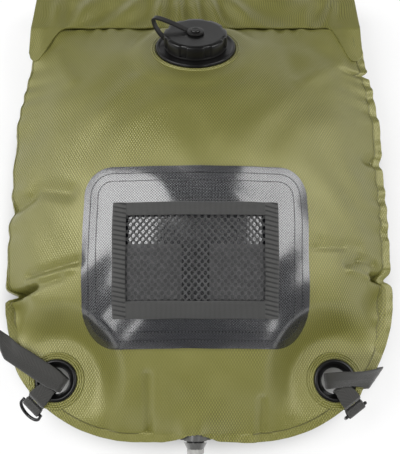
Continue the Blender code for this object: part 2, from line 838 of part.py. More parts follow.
def make_tab(side, name, heading, ring_droop):
    outward = Vector((math.cos(heading), math.sin(heading), 0))
    root = Vector((side * EYELET_X, EYELET_Y, seam_height(EYELET_Y))) + outward * TAB_ROOT_REACH
    hinge = add_empty(name + "_tab_hinge", root, (0, TAB_DROOP, heading))
    hinge.rotation_mode = "XYZ"
    half = Vector((0, WEBBING_WIDTH / 2, 0))
    fold = RING_WIRE + CLEARANCE + WEBBING_THICKNESS / 2
    layer = WEBBING_THICKNESS / 2 + CLEARANCE
    start = WEBBING_THICKNESS + TAB_ROOM
    route = [(start, layer), (TAB_LENGTH - 2 * fold, fold * TAB_PINCH_SHARE)]
    for step in range(TAB_FOLD_STEPS + 1):
        angle = math.pi / 2 - math.pi * step / TAB_FOLD_STEPS
        route.append((TAB_LENGTH + fold * math.cos(angle), fold * math.sin(angle)))
    route += [(TAB_LENGTH - 2 * fold, -fold * TAB_PINCH_SHARE), (start, -layer)]
    stations = [[Vector((x, 0, z)) - half, Vector((x, 0, z)) + half] for x, z in route]
    ribbon(name + "_tab", stations, WEBBING_THICKNESS, WEBBING, parent=hinge)
    bar = add_empty(name + "_ring_hinge", (TAB_LENGTH, 0, 0), (0, ring_droop - TAB_DROOP, 0), hinge)
    make_ring(name + "_d_ring", bar)


def make_ring(name, parent):
    wide = WEBBING_WIDTH / 2 + RING_WIRE + 2 * CLEARANCE
    curve = bpy.data.curves.new(name, "CURVE")
    curve.dimensions = "3D"
    curve.bevel_depth = RING_WIRE
    curve.bevel_resolution = 2
    spline = curve.splines.new("POLY")
    points = [(0, wide * (2 * step / RING_BAR_STEPS - 1)) for step in range(RING_BAR_STEPS + 1)]
    steps = ROUND_STEPS // 4
    for step in range(steps + 1):
        angle = math.pi / 2 - math.pi * step / steps
        bow = (RING_DEPTH - RING_SHOULDER) * math.cos(angle)
        points.append((RING_SHOULDER + bow, wide * math.sin(angle)))
    spline.points.add(len(points) - 1)
    for point, (x, y) in zip(spline.points, points):
        point.co = (x, y, 0, 1)
    spline.use_cyclic_u = True
    ring = mesh_of_curve(name, curve, None)
    mesh = ring.data
    bpy.data.objects.remove(ring)
    add_part(name, mesh, HARDWARE, parent)


def make_outlet():
    height = seam_height(BODY_BOTTOM_Y)
    # Turned outlet parts are drawn round local Z, which this empty lays along -Y.
    axis = add_empty("outlet_axis", (0, 0, height), (math.pi / 2, 0, 0))
    barrel = turned(
        "outlet_spout",
        [
            (TIP_RADIUS, -SPIGOT_END_Y),
            (TIP_RADIUS, -BARREL_END_Y + NUT_LENGTH + WASHER_THICKNESS),
            (SPIGOT_RADIUS, -BARREL_END_Y + NUT_LENGTH + WASHER_THICKNESS),
            (SPIGOT_RADIUS, -BARREL_END_Y),
            (BARREL_RADIUS, -BARREL_END_Y),
            (BARREL_RADIUS, -SPOUT_INNER_Y + OVERRUN),
            (BORE_RADIUS, -SPOUT_INNER_Y + OVERRUN),
            (BORE_RADIUS, -SPIGOT_END_Y),
        ],
        MOULDING,
        axis,
    )
    boolean(barrel, spout_wings(axis), "UNION")
    washer_start = -BARREL_END_Y + CLEARANCE
    washer_end = washer_start + WASHER_THICKNESS
    bore = SPIGOT_RADIUS + CLEARANCE
    turned(
        "outlet_washer",
        [(WASHER_RADIUS, washer_end), (WASHER_RADIUS, washer_start), (bore, washer_start), (bore, washer_end)],
        SEAL,
        axis,
    )
    nut_start = washer_end + CLEARANCE
    nut_end = nut_start + NUT_LENGTH
    turned(
        "outlet_nut",
        [
            (NUT_END_RADIUS, nut_end),
            (BARREL_RADIUS, nut_start),
            (bore, nut_start),
            (bore, nut_end),
        ],
        MOULDING,
        axis,
    )
    plug_start = nut_end + CLEARANCE
    plug_end = plug_start + PLUG_LENGTH
    inner = TIP_RADIUS + CLEARANCE
    profile = [(0, plug_end)]
    steps = ROUND_STEPS // 4
    for step in range(1, steps + 1):
        angle = math.pi / 2 * step / steps
        profile.append((PLUG_RADIUS * math.sin(angle), plug_end - PLUG_LENGTH / 2 * (1 - math.cos(angle))))
    profile += [(PLUG_RADIUS, plug_start), (inner, plug_start)]
    profile += [(inner, -SPIGOT_END_Y + CLEARANCE), (0, -SPIGOT_END_Y + CLEARANCE)]
    turned("outlet_plug", profile, CLEAR, axis)


def spout_wings(axis):
    bm = bmesh.new()
    steps = ROUND_STEPS // 2
    outline = []
    for step in range(steps + 1):
        x = SPOUT_HALF_WIDTH * math.cos(math.pi * step / steps)
        outline.append((x, SPOUT_HALF_HEIGHT * (1 - (x / SPOUT_HALF_WIDTH) ** 2)))
    outline += [(x, -y) for x, y in reversed(outline[1:-1])]
    face = bm.faces.new([bm.verts.new((x, y, -SPOUT_INNER_Y)) for x, y in outline])
    grown = bmesh.ops.extrude_face_region(bm, geom=[face])["geom"]
    far = [item for item in grown if isinstance(item, bmesh.types.BMVert)]
    bmesh.ops.translate(bm, verts=far, vec=(0, 0, SPOUT_INNER_Y - SPOUT_WING_Y))
    hole = Matrix.Translation((0, 0, -(SPOUT_INNER_Y + SPOUT_WING_Y) / 2))
    wings = keep_as_cutter(bpy.data.objects.new("spout_wings", mesh_from("spout_wings", bm)))
    wings.parent = axis
    bore = disc_cutter("spout_bore_cutter", BORE_RADIUS + CLEARANCE, 2 * (SPOUT_INNER_Y - SPOUT_WING_Y), hole)
    bore.parent = axis
    boolean(wings, bore, "DIFFERENCE")
    return wings


def make_bag():
    make_sheets()
    make_header()
    surface = make_patch()
    make_pocket(surface)
    filler = filler_frame()
    axis = add_empty("filler_axis", filler.to_translation(), filler.to_euler())
    flange_top = make_filler(axis)
    make_cap(axis)
    make_tether(axis, flange_top)
    for side, name in ((-1, "left"), (1, "right")):
        make_eyelet(side, name)
    webbing_loop("left_corner_loop", -1, LEFT_LOOP_HEADING, LOOP_INNER_REACH, LOOP_STACK)
    webbing_loop("right_corner_loop", 1, RIGHT_LOOP_HEADING, LOOP_INNER_REACH, LOOP_STACK)
    webbing_loop("left_tab_anchor", -1, LEFT_TAB_HEADING, TAB_INNER_REACH, length=TAB_ROOT_REACH)
    webbing_loop("right_tab_anchor", 1, RIGHT_TAB_HEADING, TAB_INNER_REACH, length=TAB_ROOT_REACH)
    make_tab(-1, "left", LEFT_TAB_HEADING, LEFT_RING_DROOP)
    make_tab(1, "right", RIGHT_TAB_HEADING, RIGHT_RING_DROOP)
    make_outlet()


clear_scene()
PARTS = named_collection("camp_shower_bag")
CUTTERS = named_collection("camp_shower_bag_cutters")
FABRIC = finish("coated_fabric", (0.17, 0.17, 0.055), 0.55)
GLOSS = finish("gloss_sheet", (0.012, 0.013, 0.018), 0.18)
LINING = finish("pocket_lining", (0.035, 0.035, 0.038), 0.8)
NET = finish("pocket_net", (0.03, 0.03, 0.032), 0.7)
BINDING = finish("pocket_binding", (0.05, 0.05, 0.052), 0.75)
MOULDING = finish("black_moulding", (0.012, 0.012, 0.013), 0.35)
SEAL = finish("seal_rubber", (0.02, 0.02, 0.02), 0.8)
TETHER = finish("tether_rubber", (0.022, 0.021, 0.021), 0.5)
WEBBING = finish("webbing", (0.045, 0.045, 0.043), 0.8)
HARDWARE = finish("ring_plastic", (0.01, 0.01, 0.01), 0.35)
CLEAR = finish("clear_plug", (0.45, 0.45, 0.44), 0.25)
make_bag()
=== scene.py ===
"""A filled camp shower bag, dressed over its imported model.

The bag lies on its back: its front faces up, the header points to +Y and the outlet
to -Y. Every length is in metres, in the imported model's own frame.
"""

import logging
import math
from collections.abc import Callable, Iterator, Sequence
from contextlib import contextmanager
from dataclasses import dataclass
from enum import Enum

import bmesh
import bpy
import numpy as np
from mathutils import Matrix, Vector

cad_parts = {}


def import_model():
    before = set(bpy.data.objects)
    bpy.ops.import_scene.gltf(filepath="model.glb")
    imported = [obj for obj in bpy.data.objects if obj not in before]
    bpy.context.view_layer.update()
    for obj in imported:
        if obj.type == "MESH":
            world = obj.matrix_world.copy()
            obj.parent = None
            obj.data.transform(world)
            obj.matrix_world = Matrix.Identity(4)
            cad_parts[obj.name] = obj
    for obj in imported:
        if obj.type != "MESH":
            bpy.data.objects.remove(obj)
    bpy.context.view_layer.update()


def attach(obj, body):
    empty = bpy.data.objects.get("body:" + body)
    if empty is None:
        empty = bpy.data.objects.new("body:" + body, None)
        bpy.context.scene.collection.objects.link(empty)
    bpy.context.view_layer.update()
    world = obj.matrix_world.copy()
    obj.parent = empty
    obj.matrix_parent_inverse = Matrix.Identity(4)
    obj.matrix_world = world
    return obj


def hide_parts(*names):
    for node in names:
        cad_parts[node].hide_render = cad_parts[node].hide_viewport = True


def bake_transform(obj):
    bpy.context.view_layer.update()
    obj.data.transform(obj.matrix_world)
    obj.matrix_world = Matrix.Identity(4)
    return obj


LOG = logging.getLogger("camp_shower_bag")

CLOTH_MAP = "Cloth"
SHADER = "Principled BSDF"
MERGE_DISTANCE = 0.00002
POLE_RADIUS = 0.000001
SLOPE_STEP = 0.0015
OUTLINE_STEP = SLOPE_STEP / 8
TURN = 2 * math.pi
SHARP_ANGLE = math.radians(40)
LAYER_ANGLE = math.radians(50)
FOLD_ANGLE = math.radians(60)
FINE_FACETS = 128
WIRE_ROUNDNESS = 4

Piece = bpy.types.Object
Socket = bpy.types.NodeSocket
Array = np.ndarray
Cutting = Callable[[Array, Array], Array]
Colour = tuple[float, float, float]
Place = tuple[float, float, float]
Span = tuple[float, float]


class Side(Enum):
    """The two sheets of the reservoir, by the way that they face."""

    FRONT = 1
    BACK = -1


class Hand(Enum):
    """The two bottom corners, by the way that they lie from the middle."""

    LEFT = -1
    RIGHT = 1

    @property
    def word(self) -> str:
        """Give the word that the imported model's names use."""
        return self.name.lower()


class Pattern(Enum):
    """How a shader finds its place on a piece."""

    CLOTH = "along the cloth's own threads"
    OBJECT = "in the object's own space"


class Detail(Enum):
    """How many finer layers a noise has."""

    EVEN = 1.0
    SOFT = 2.0
    CLOUDY = 3.0
    DUSTY = 4.0


class Weave(Enum):
    """How the ribs of a tape run."""

    CHEVRON = "to a point in the tape's middle"
    SLANTED = "down to one side"
    PLAIN = "straight across, fine and flat"


# Number helpers


def smoothstep(share: Array) -> Array:
    """Ease a share from 0 to 1, flat at both ends."""
    held = np.clip(share, 0.0, 1.0)
    return held * held * (3 - 2 * held)


def bell(distance: Array, width: float) -> Array:
    """Give a smooth bump that is 1 at no distance and fades over a width."""
    return np.exp(-((distance / width) ** 2))


# Modelling helpers


def select_only(piece: Piece | None) -> None:
    """Deselect everything, then select one piece and make it active.

    Args:
        piece: The piece to work on, or None to leave nothing selected.
    """
    bpy.ops.object.select_all(action="DESELECT")
    if piece is not None:
        piece.select_set(True)
    bpy.context.view_layer.objects.active = piece


def new_piece(name: str) -> Piece:
    """Name the object that an operator has just added.

    Args:
        name: The piece's name.

    Returns:
        The named object.
    """
    piece = bpy.context.object
    piece.name = name
    piece.data.name = name
    return piece


@contextmanager
def editing(piece: Piece, action: str = "SELECT") -> Iterator[None]:
    """Hold a piece in edit mode.

    Args:
        piece: The piece to edit.
        action: What happens to the selection first.

    Returns:
        The context that leaves edit mode at its end.
    """
    select_only(piece)
    bpy.ops.object.mode_set(mode="EDIT")
    bpy.ops.mesh.select_all(action=action)
    try:
        yield
    finally:
        bpy.ops.object.mode_set(mode="OBJECT")


def edit_mesh(piece: Piece) -> bmesh.types.BMesh:
    """Give the mesh of a piece that is in edit mode."""
    return bmesh.from_edit_mesh(piece.data)


def points_of(piece: Piece) -> Array:
    """Read the places of a piece's vertices.

    Args:
        piece: A mesh piece in object mode.

    Returns:
        One row of three coordinates for each vertex.
    """
    flat = np.empty(3 * len(piece.data.vertices))
    piece.data.vertices.foreach_get("co", flat)
    return flat.reshape(-1, 3)


def move_points(piece: Piece, points: Array) -> None:
    """Put a piece's vertices at new places, one row of coordinates for each."""
    piece.data.vertices.foreach_set("co", points.ravel())
    piece.data.update()


def modify(piece: Piece, kind: str, **settings: float | str | bool) -> None:
    """Add one modifier to a piece and apply it.

    Args:
        piece: The piece to change.
        kind: The modifier's type.
        **settings: The modifier's settings by name.
    """
    select_only(piece)
    bpy.ops.object.modifier_add(type=kind)
    modifier = piece.modifiers[-1]
    for key, value in settings.items():
        setattr(modifier, key, value)
    bpy.ops.object.modifier_apply(modifier=modifier.name)


def thicken(piece: Piece, thickness: float, angle: float) -> None:
    """Give a sheet its thickness and shade it smooth up to an angle."""
    modify(piece, "SOLIDIFY", thickness=thickness, offset=0.0)
    smooth(piece, angle)


def turn_outwards(piece: Piece) -> None:
    """Merge what coincides in a closed piece and point its faces outwards.

    Args:
        piece: A mesh piece in object mode.
    """
    with editing(piece):
        bpy.ops.mesh.remove_doubles(threshold=MERGE_DISTANCE)
        bpy.ops.mesh.normals_make_consistent(inside=False)


def round_edges(piece: Piece, width: float, segments: int, angle: float) -> None:
    """Round the edges of a piece that are sharper than an angle."""
    modify(piece, "BEVEL", width=width, segments=segments, limit_method="ANGLE", angle_limit=angle)


def smooth(piece: Piece, angle: float = SHARP_ANGLE) -> None:
    """Shade a piece smooth, with sharp edges past an angle."""
    select_only(piece)
    bpy.ops.object.shade_smooth_by_angle(angle=angle)


def cloth_lengths(points: Array, columns: int, rows: int) -> Array:
    """Measure a laid grid along its threads, from the grid's middle.

    Args:
        points: The grid's vertices, row by row.
        columns: Cells across the grid.
        rows: Cells along the grid.

    Returns:
        The two lengths at each vertex, which serve as its cloth map.
    """
    net = points.reshape(rows + 1, columns + 1, 3)
    across = np.zeros(net.shape[:2])
    across[:, 1:] = np.cumsum(np.linalg.norm(np.diff(net, axis=1), axis=2), axis=1)
    across -= across[:, columns // 2][:, None]
    along = np.zeros(net.shape[:2])
    along[1:] = np.cumsum(np.linalg.norm(np.diff(net, axis=0), axis=2), axis=0)
    along -= along[rows // 2]
    return np.stack((across, along), axis=2).reshape(-1, 2)


def map_cloth(piece: Piece, lengths: Array) -> None:
    """Give a piece the cloth map that its weave follows.

    Args:
        piece: A mesh piece in object mode.
        lengths: The two lengths at each vertex.
    """
    mesh = piece.data
    layer = mesh.uv_layers.active or mesh.uv_layers.new()
    layer.name = CLOTH_MAP
    corners = np.empty(len(mesh.loops), dtype=np.int32)
    mesh.loops.foreach_get("vertex_index", corners)
    layer.data.foreach_set("uv", lengths[corners].ravel())


def lay_grid(name: str, columns: int, rows: int, place: Cutting) -> Piece:
    """Lay a flat grid over a form, as cloth is laid.

    Args:
        name: The piece's name.
        columns: Cells across.
        rows: Cells along.
        place: Gives the points for two arrays of shares across and along.

    Returns:
        The laid sheet, with its cloth map and no thickness yet.
    """
    select_only(None)
    bpy.ops.mesh.primitive_grid_add(x_subdivisions=columns, y_subdivisions=rows, size=1)
    piece = new_piece(name)
    shares = points_of(piece) + 0.5
    points = place(shares[:, 0], shares[:, 1])
    move_points(piece, points)
    map_cloth(piece, cloth_lengths(points, columns, rows))
    return piece


def turned(name: str, profile: Sequence[tuple[float, float]], steps: int = 96) -> Piece:
    """Turn a profile round the Z axis, one extruded ring after another.

    Args:
        name: The piece's name.
        profile: Radius and height of each ring; a closed wall repeats its first ring.
        steps: Vertices in each ring.

    Returns:
        The turned piece.
    """
    rings = [(max(radius, POLE_RADIUS), height) for radius, height in profile]
    select_only(None)
    bpy.ops.mesh.primitive_circle_add(vertices=steps, radius=rings[0][0])
    piece = new_piece(name)
    with editing(piece):
        bpy.ops.transform.translate(value=(0, 0, rings[0][1]))
        for (radius, height), (next_radius, next_height) in zip(rings, rings[1:]):
            bpy.ops.mesh.extrude_edges_move(
                TRANSFORM_OT_translate={"value": (0, 0, next_height - height)}
            )
            grow = next_radius / radius
            bpy.ops.transform.resize(value=(grow, grow, 1), center_override=(0, 0, next_height))
    turn_outwards(piece)
    return piece


def square_ring(outer: float, inner: float, low: float, high: float) -> list[Span]:
    """Give the closed profile of a ring with a square section."""
    return [(outer, low), (inner, low), (inner, high), (outer, high), (outer, low)]


def bent_wire(name: str, route: Sequence[Vector], radius: float) -> Piece:
    """Bend round wire along a closed route.

    Args:
        name: The piece's name.
        route: Points along the wire's middle.
        radius: Half the wire's thickness.

    Returns:
        The wire as a mesh piece.
    """
    select_only(None)
    bpy.ops.curve.primitive_bezier_circle_add()
    piece = new_piece(name)
    curve = piece.data
    curve.splines.clear()
    curve.dimensions = "3D"
    curve.bevel_depth = radius
    curve.bevel_resolution = WIRE_ROUNDNESS
    spline = curve.splines.new("POLY")
    spline.points.add(len(route) - 1)
    for point, spot in zip(spline.points, route):
        point.co = (*spot, 1)
    spline.use_cyclic_u = True
    bpy.ops.object.convert(target="MESH")
    piece = bpy.context.object
    turn_outwards(piece)
    return piece


def repeated(name: str, pattern: Piece, places: Sequence[Matrix]) -> Piece:
    """Copy one small piece to many places, as one mesh of its own.

    Args:
        name: The new piece's name.
        pattern: The modelled piece, which is used up.
        places: Where each copy goes.

    Returns:
        The piece that holds all the copies.
    """
    points = points_of(pattern)
    faces = [tuple(face.vertices) for face in pattern.data.polygons]
    copies = []
    corners = []
    for index, place in enumerate(places):
        turning = np.array(place.to_3x3())
        copies.append(points @ turning.T + np.array(place.to_translation()))
        corners += [tuple(corner + index * len(points) for corner in face) for face in faces]
    mesh = bpy.data.meshes.new(name)
    mesh.from_pydata(np.concatenate(copies).tolist(), [], corners)
    piece = bpy.data.objects.new(name, mesh)
    bpy.context.collection.objects.link(piece)
    bpy.data.objects.remove(pattern)
    return piece


# Shader helpers


class Signal:
    """A node's output, with Python's operators as Math nodes."""

    def __init__(self, graph: "Tree", socket: Socket) -> None:
        """Wrap one output socket of a tree."""
        self.graph = graph
        self.socket = socket

    def maths(self, operation: str, *terms: "Signal | float") -> "Signal":
        """Run one Math operation on values in order."""
        node = self.graph.node("ShaderNodeMath", {"operation": operation}, dict(enumerate(terms)))
        return Signal(self.graph, node.outputs[0])

    def __add__(self, other: "Signal | float") -> "Signal":
        """Add."""
        return self.maths("ADD", self, other)

    __radd__ = __add__

    def __sub__(self, other: "Signal | float") -> "Signal":
        """Take away."""
        return self.maths("SUBTRACT", self, other)

    def __rsub__(self, other: float) -> "Signal":
        """Take this away from a number."""
        return self.maths("SUBTRACT", other, self)

    def __mul__(self, other: "Signal | float") -> "Signal":
        """Multiply."""
        return self.maths("MULTIPLY", self, other)

    __rmul__ = __mul__

    def __pow__(self, other: "Signal | float") -> "Signal":
        """Raise to a power."""
        return self.maths("POWER", self, other)

    def sine(self) -> "Signal":
        """Take the sine."""
        return self.maths("SINE", self)

    def larger(self, other: "Signal | float") -> "Signal":
        """Keep the larger of two values."""
        return self.maths("MAXIMUM", self, other)

    def size(self) -> "Signal":
        """Drop the sign."""
        return self.maths("ABSOLUTE", self)

    def between(self, edges: Span) -> "Signal":
        """Ease from 0 at the first of two values to 1 at the second.

        Args:
            edges: The two values.

        Returns:
            The eased share.
        """
        settings = {"interpolation_type": "SMOOTHSTEP"}
        inputs = {"Value": self, "From Min": edges[0], "From Max": edges[1]}
        node = self.graph.node("ShaderNodeMapRange", settings, inputs)
        return Signal(self.graph, node.outputs["Result"])


class Tree:
    """A tree of nodes, which all come from one method."""

    def __init__(self, tree: bpy.types.NodeTree) -> None:
        """Wrap the tree of a material or of the world."""
        self.tree = tree

    def link(self, output: Socket, node: str, socket: str) -> None:
        """Link an output to a socket of a node that the tree starts with."""
        self.tree.links.new(output, self.tree.nodes[node].inputs[socket])

    def node(
        self, kind: str, settings: dict | None = None, inputs: dict | None = None
    ) -> bpy.types.Node:
        """Add any node.

        Args:
            kind: The node's type.
            settings: Its settings by name, set first.
            inputs: Values, signals or sockets for its inputs, by name or number.

        Returns:
            The node.
        """
        node = self.tree.nodes.new(kind)
        for key, value in (settings or {}).items():
            setattr(node, key, value)
        for key, value in (inputs or {}).items():
            if isinstance(value, Signal):
                value = value.socket
            if isinstance(value, Socket):
                self.tree.links.new(value, node.inputs[key])
            else:
                node.inputs[key].default_value = value
        return node

    def parts(self, vector: Socket) -> tuple[Signal, Signal, Signal]:
        """Split a vector into its three numbers."""
        node = self.node("ShaderNodeSeparateXYZ", inputs={0: vector})
        return tuple(Signal(self, output) for output in node.outputs)


class Graph(Tree):
    """The node tree of one material, with a Principled shader at its end."""

    def __init__(self, name: str, **fixed: float | Colour) -> None:
        """Start a material.

        Args:
            name: The material's name.
            **fixed: Constants of the shader, with underscores for spaces.
        """
        self.material = bpy.data.materials.new(name)
        self.material.use_nodes = True
        super().__init__(self.material.node_tree)
        self.shader = self.tree.nodes[SHADER]
        for key, value in fixed.items():
            socket = self.shader.inputs[key.replace("_", " ").title().replace("Ior", "IOR")]
            socket.default_value = (*value, 1.0) if isinstance(value, tuple) else value

    def place(self, pattern: Pattern) -> Socket:
        """Give the vector that a pattern is drawn on."""
        if pattern is Pattern.CLOTH:
            return self.node("ShaderNodeUVMap", {"uv_map": CLOTH_MAP}).outputs["UV"]
        return self.node("ShaderNodeTexCoord").outputs["Object"]

    def diamonds(self, vector: Socket, pitch: float, slope: float = 1.0) -> Signal:
        """Draw rows of small diamonds.

        Args:
            vector: Where they are drawn.
            pitch: The width of one diamond.
            slope: A diamond's width over its height.

        Returns:
            The pattern, from 0 on the diamonds' edges to 1 in their middles.
        """
        across, along, _ = self.parts(vector)
        rising = ((across + along * slope) * (math.pi / pitch)).sine().size()
        falling = ((across - along * slope) * (math.pi / pitch)).sine().size()
        return rising * falling

    def noise(self, vector: Socket, size: float, detail: Detail = Detail.SOFT) -> Signal:
        """Make soft noise in blotches of one size, about 0.5 on average."""
        inputs = {"Vector": vector, "Scale": 1 / size, "Detail": detail.value}
        return Signal(self, self.node("ShaderNodeTexNoise", inputs=inputs).outputs["Fac"])

    def mix(self, share: Signal, first: Colour | Signal, second: Colour | Signal) -> Signal:
        """Mix two colours.

        Args:
            share: How much of the second shows.
            first: The first colour.
            second: The second colour.

        Returns:
            The mixed colour.
        """
        node = self.node("ShaderNodeMix", {"data_type": "RGBA"}, {"Factor": share})
        for socket, colour in zip((node.inputs[6], node.inputs[7]), (first, second)):
            if isinstance(colour, Signal):
                self.tree.links.new(colour.socket, socket)
            else:
                socket.default_value = (*colour, 1.0)
        return Signal(self, node.outputs[2])

    def feed(self, socket: str, signal: Signal) -> None:
        """Link a signal to one of the shader's own sockets."""
        self.link(signal.socket, SHADER, socket)

    def bump(self, height: Signal, depth: float) -> None:
        """Raise the surface by a pattern, whose top stands as high as the depth."""
        node = self.node("ShaderNodeBump", inputs={"Height": height, "Distance": depth})
        self.link(node.outputs["Normal"], SHADER, "Normal")


# Finishes


@dataclass(frozen=True)
class CoatedFabric:
    """Woven fabric with a soft coating, whose fine diamonds show in the light."""

    name: str = "coated_fabric"
    thread: Colour = (0.210, 0.204, 0.052)
    gap: Colour = (0.058, 0.057, 0.013)
    worn: Colour = (0.205, 0.198, 0.062)
    shine: Colour = (1.0, 0.96, 0.60)
    bending: float = 1.6
    pitch: float = 0.0026
    slope: float = 0.62
    thread_edges: Span = (0.12, 0.62)
    fade_size: float = 0.11
    fade_edges: Span = (0.36, 0.62)
    faded_share: float = 0.2
    fresh_gain: float = 0.75
    even_share: float = 0.55
    cloud_size: float = 0.045
    worn_edges: Span = (0.45, 0.85)
    worn_share: float = 0.3
    grain_size: float = 0.0011
    grain_relief: float = 0.35
    thread_relief: float = 0.8
    relief: float = 0.00026
    roughness: float = 0.42
    cloud_roughness: float = 0.25
    thread_polish: float = 0.08

    def material(self) -> bpy.types.Material:
        """Make the material.

        Returns:
            The material.
        """
        shine = {"specular_ior_level": 1.0, "specular_tint": self.shine}
        graph = Graph(self.name, ior=self.bending, **shine)
        vector = graph.place(Pattern.CLOTH)
        diamond = graph.diamonds(vector, self.pitch, self.slope)
        cloud = graph.noise(vector, self.cloud_size, Detail.CLOUDY)
        grain = graph.noise(vector, self.grain_size, Detail.EVEN)
        fresh = graph.noise(vector, self.fade_size).between(self.fade_edges)
        shown = fresh * self.fresh_gain + self.faded_share
        weave = (diamond.between(self.thread_edges) - self.even_share) * shown + self.even_share
        cloth = graph.mix(weave, self.gap, self.thread)
        wear = cloud.between(self.worn_edges) * self.worn_share
        graph.feed("Base Color", graph.mix(wear, cloth, self.worn))
        swing = (cloud - 0.5) * self.cloud_roughness - diamond * self.thread_polish
        graph.feed("Roughness", self.roughness + swing)
        graph.bump(diamond * self.thread_relief + grain * self.grain_relief, self.relief)
        return graph.material


@dataclass(frozen=True)
class GlossSheet:
    """Glossy sheet embossed with dotted diamonds, which break each reflection into glitter, with
    painted glints of lighter colour on some dots.
    """

    name: str = "gloss_sheet"
    colour: Colour = (0.003, 0.0035, 0.006)
    # The painted glints' lighter colour, put on the dots.
    fleck: Colour = (0.016, 0.017, 0.022)
    bending: float = 1.72
    pitch: float = 0.0026
    dot_edges: Span = (0.35, 0.9)
    cloud_size: float = 0.022
    cloud_edges: Span = (0.30, 0.70)
    cloud_relief: float = 1.5
    relief: float = 0.00016
    roughness: float = 0.15
    dot_roughness: float = 0.06
    cloud_roughness: float = 0.05

    def material(self) -> bpy.types.Material:
        """Make the material.

        Returns:
            The material.
        """
        graph = Graph(self.name, specular_ior_level=1.0, ior=self.bending)
        vector = graph.place(Pattern.CLOTH)
        dots = graph.diamonds(vector, self.pitch).between(self.dot_edges)
        cloud = graph.noise(vector, self.cloud_size, Detail.CLOUDY)
        # Painted glints: some dots are coloured lighter, in cloudy patches.
        painted_glints = dots * cloud.between(self.cloud_edges)
        graph.feed("Base Color", graph.mix(painted_glints, self.colour, self.fleck))
        swing = dots * self.dot_roughness + cloud * self.cloud_roughness
        graph.feed("Roughness", self.roughness + swing)
        graph.bump(dots + cloud * self.cloud_relief, self.relief)
        return graph.material


@dataclass(frozen=True)
class RibbedTape:
    """Woven tape with slanting ribs, as in bindings and webbing."""

    name: str
    rib: Colour
    gap: Colour
    weave: Weave
    pitch: float = 0.0022
    slant_share: float = 0.6
    relief: float = 0.0003
    roughness: float = 0.78
    sheen: float = 0.25
    fuzz_size: float = 0.0007
    rib_share: float = 0.8
    fuzz_share: float = 0.5
    rib_edges: Span = (0.35, 0.95)
    fuzz_relief: float = 0.4

    def material(self) -> bpy.types.Material:
        """Make the material.

        Returns:
            The material.
        """
        graph = Graph(self.name, roughness=self.roughness, sheen_weight=self.sheen)
        vector = graph.place(Pattern.CLOTH)
        across, along, _ = graph.parts(vector)
        if self.weave is Weave.CHEVRON:
            along = along + across.size() * self.slant_share
        if self.weave is Weave.SLANTED:
            along = along + across * self.slant_share
        ribs = (along * (math.pi / self.pitch)).sine().size()
        fuzz = graph.noise(vector, self.fuzz_size)
        shown = (ribs * self.rib_share + fuzz * self.fuzz_share).between(self.rib_edges)
        graph.feed("Base Color", graph.mix(shown, self.gap, self.rib))
        graph.bump(ribs + fuzz * self.fuzz_relief, self.relief)
        return graph.material


@dataclass(frozen=True)
class KnitLining:
    """Plain dark cloth behind the net, and the net's own yarn."""

    name: str
    colour: Colour
    pitch: float = 0.0012
    roughness: float = 0.85
    sheen: float = 0.2
    fuzz_size: float = 0.004
    fuzz_edges: Span = (0.35, 0.8)
    pale_gain: float = 1.6
    knit_relief: float = 0.5
    relief: float = 0.0002

    def material(self) -> bpy.types.Material:
        """Make the material.

        Returns:
            The material.
        """
        graph = Graph(self.name, roughness=self.roughness, sheen_weight=self.sheen)
        vector = graph.place(Pattern.OBJECT)
        across, along, _ = graph.parts(vector)
        knit = (across * (TURN / self.pitch)).sine() * (along * (TURN / self.pitch)).sine()
        fuzz = graph.noise(vector, self.fuzz_size, Detail.CLOUDY)
        pale = tuple(self.pale_gain * part for part in self.colour)
        graph.feed("Base Color", graph.mix(fuzz.between(self.fuzz_edges), self.colour, pale))
        graph.bump(knit * self.knit_relief + fuzz, self.relief)
        return graph.material


@dataclass(frozen=True)
class Moulding:
    """Moulded plastic or rubber with fine grain and dusty wear."""

    name: str
    colour: Colour
    roughness: float = 0.32
    coat: float = 0.0
    coat_roughness: float = 0.12
    shine: float = 0.35
    grain_size: float = 0.0009
    relief: float = 0.00003
    dust_size: float = 0.012
    dust_edges: Span = (0.5, 0.8)
    dust_share: float = 0.6
    dust_gain: float = 1.6
    dust_lift: float = 0.002
    dust_roughness: float = 0.2

    def material(self) -> bpy.types.Material:
        """Make the material.

        Returns:
            The material.
        """
        coat = {"coat_weight": self.coat, "coat_roughness": self.coat_roughness}
        graph = Graph(self.name, specular_ior_level=self.shine, **coat)
        vector = graph.place(Pattern.OBJECT)
        grain = graph.noise(vector, self.grain_size)
        dust = graph.noise(vector, self.dust_size, Detail.DUSTY)
        worn = tuple(self.dust_gain * part + self.dust_lift for part in self.colour)
        dusty = dust.between(self.dust_edges) * self.dust_share
        graph.feed("Base Color", graph.mix(dusty, self.colour, worn))
        graph.feed("Roughness", self.roughness + (dust - 0.5) * self.dust_roughness)
        graph.bump(grain, self.relief)
        return graph.material


@dataclass(frozen=True)
class ClearPlastic:
    """Milky push-on tip."""

    name: str = "clear_plug"
    colour: Colour = (0.62, 0.62, 0.60)
    dull: Colour = (0.45, 0.45, 0.43)
    clear_share: float = 0.45
    roughness: float = 0.25
    bending: float = 1.45
    haze_size: float = 0.003
    relief: float = 0.0001

    def material(self) -> bpy.types.Material:
        """Make the material.

        Returns:
            The material.
        """
        clear = {"transmission_weight": self.clear_share, "ior": self.bending}
        graph = Graph(self.name, roughness=self.roughness, **clear)
        haze = graph.noise(graph.place(Pattern.OBJECT), self.haze_size)
        graph.feed("Base Color", graph.mix(haze, self.colour, self.dull))
        graph.bump(haze, self.relief)
        return graph.material


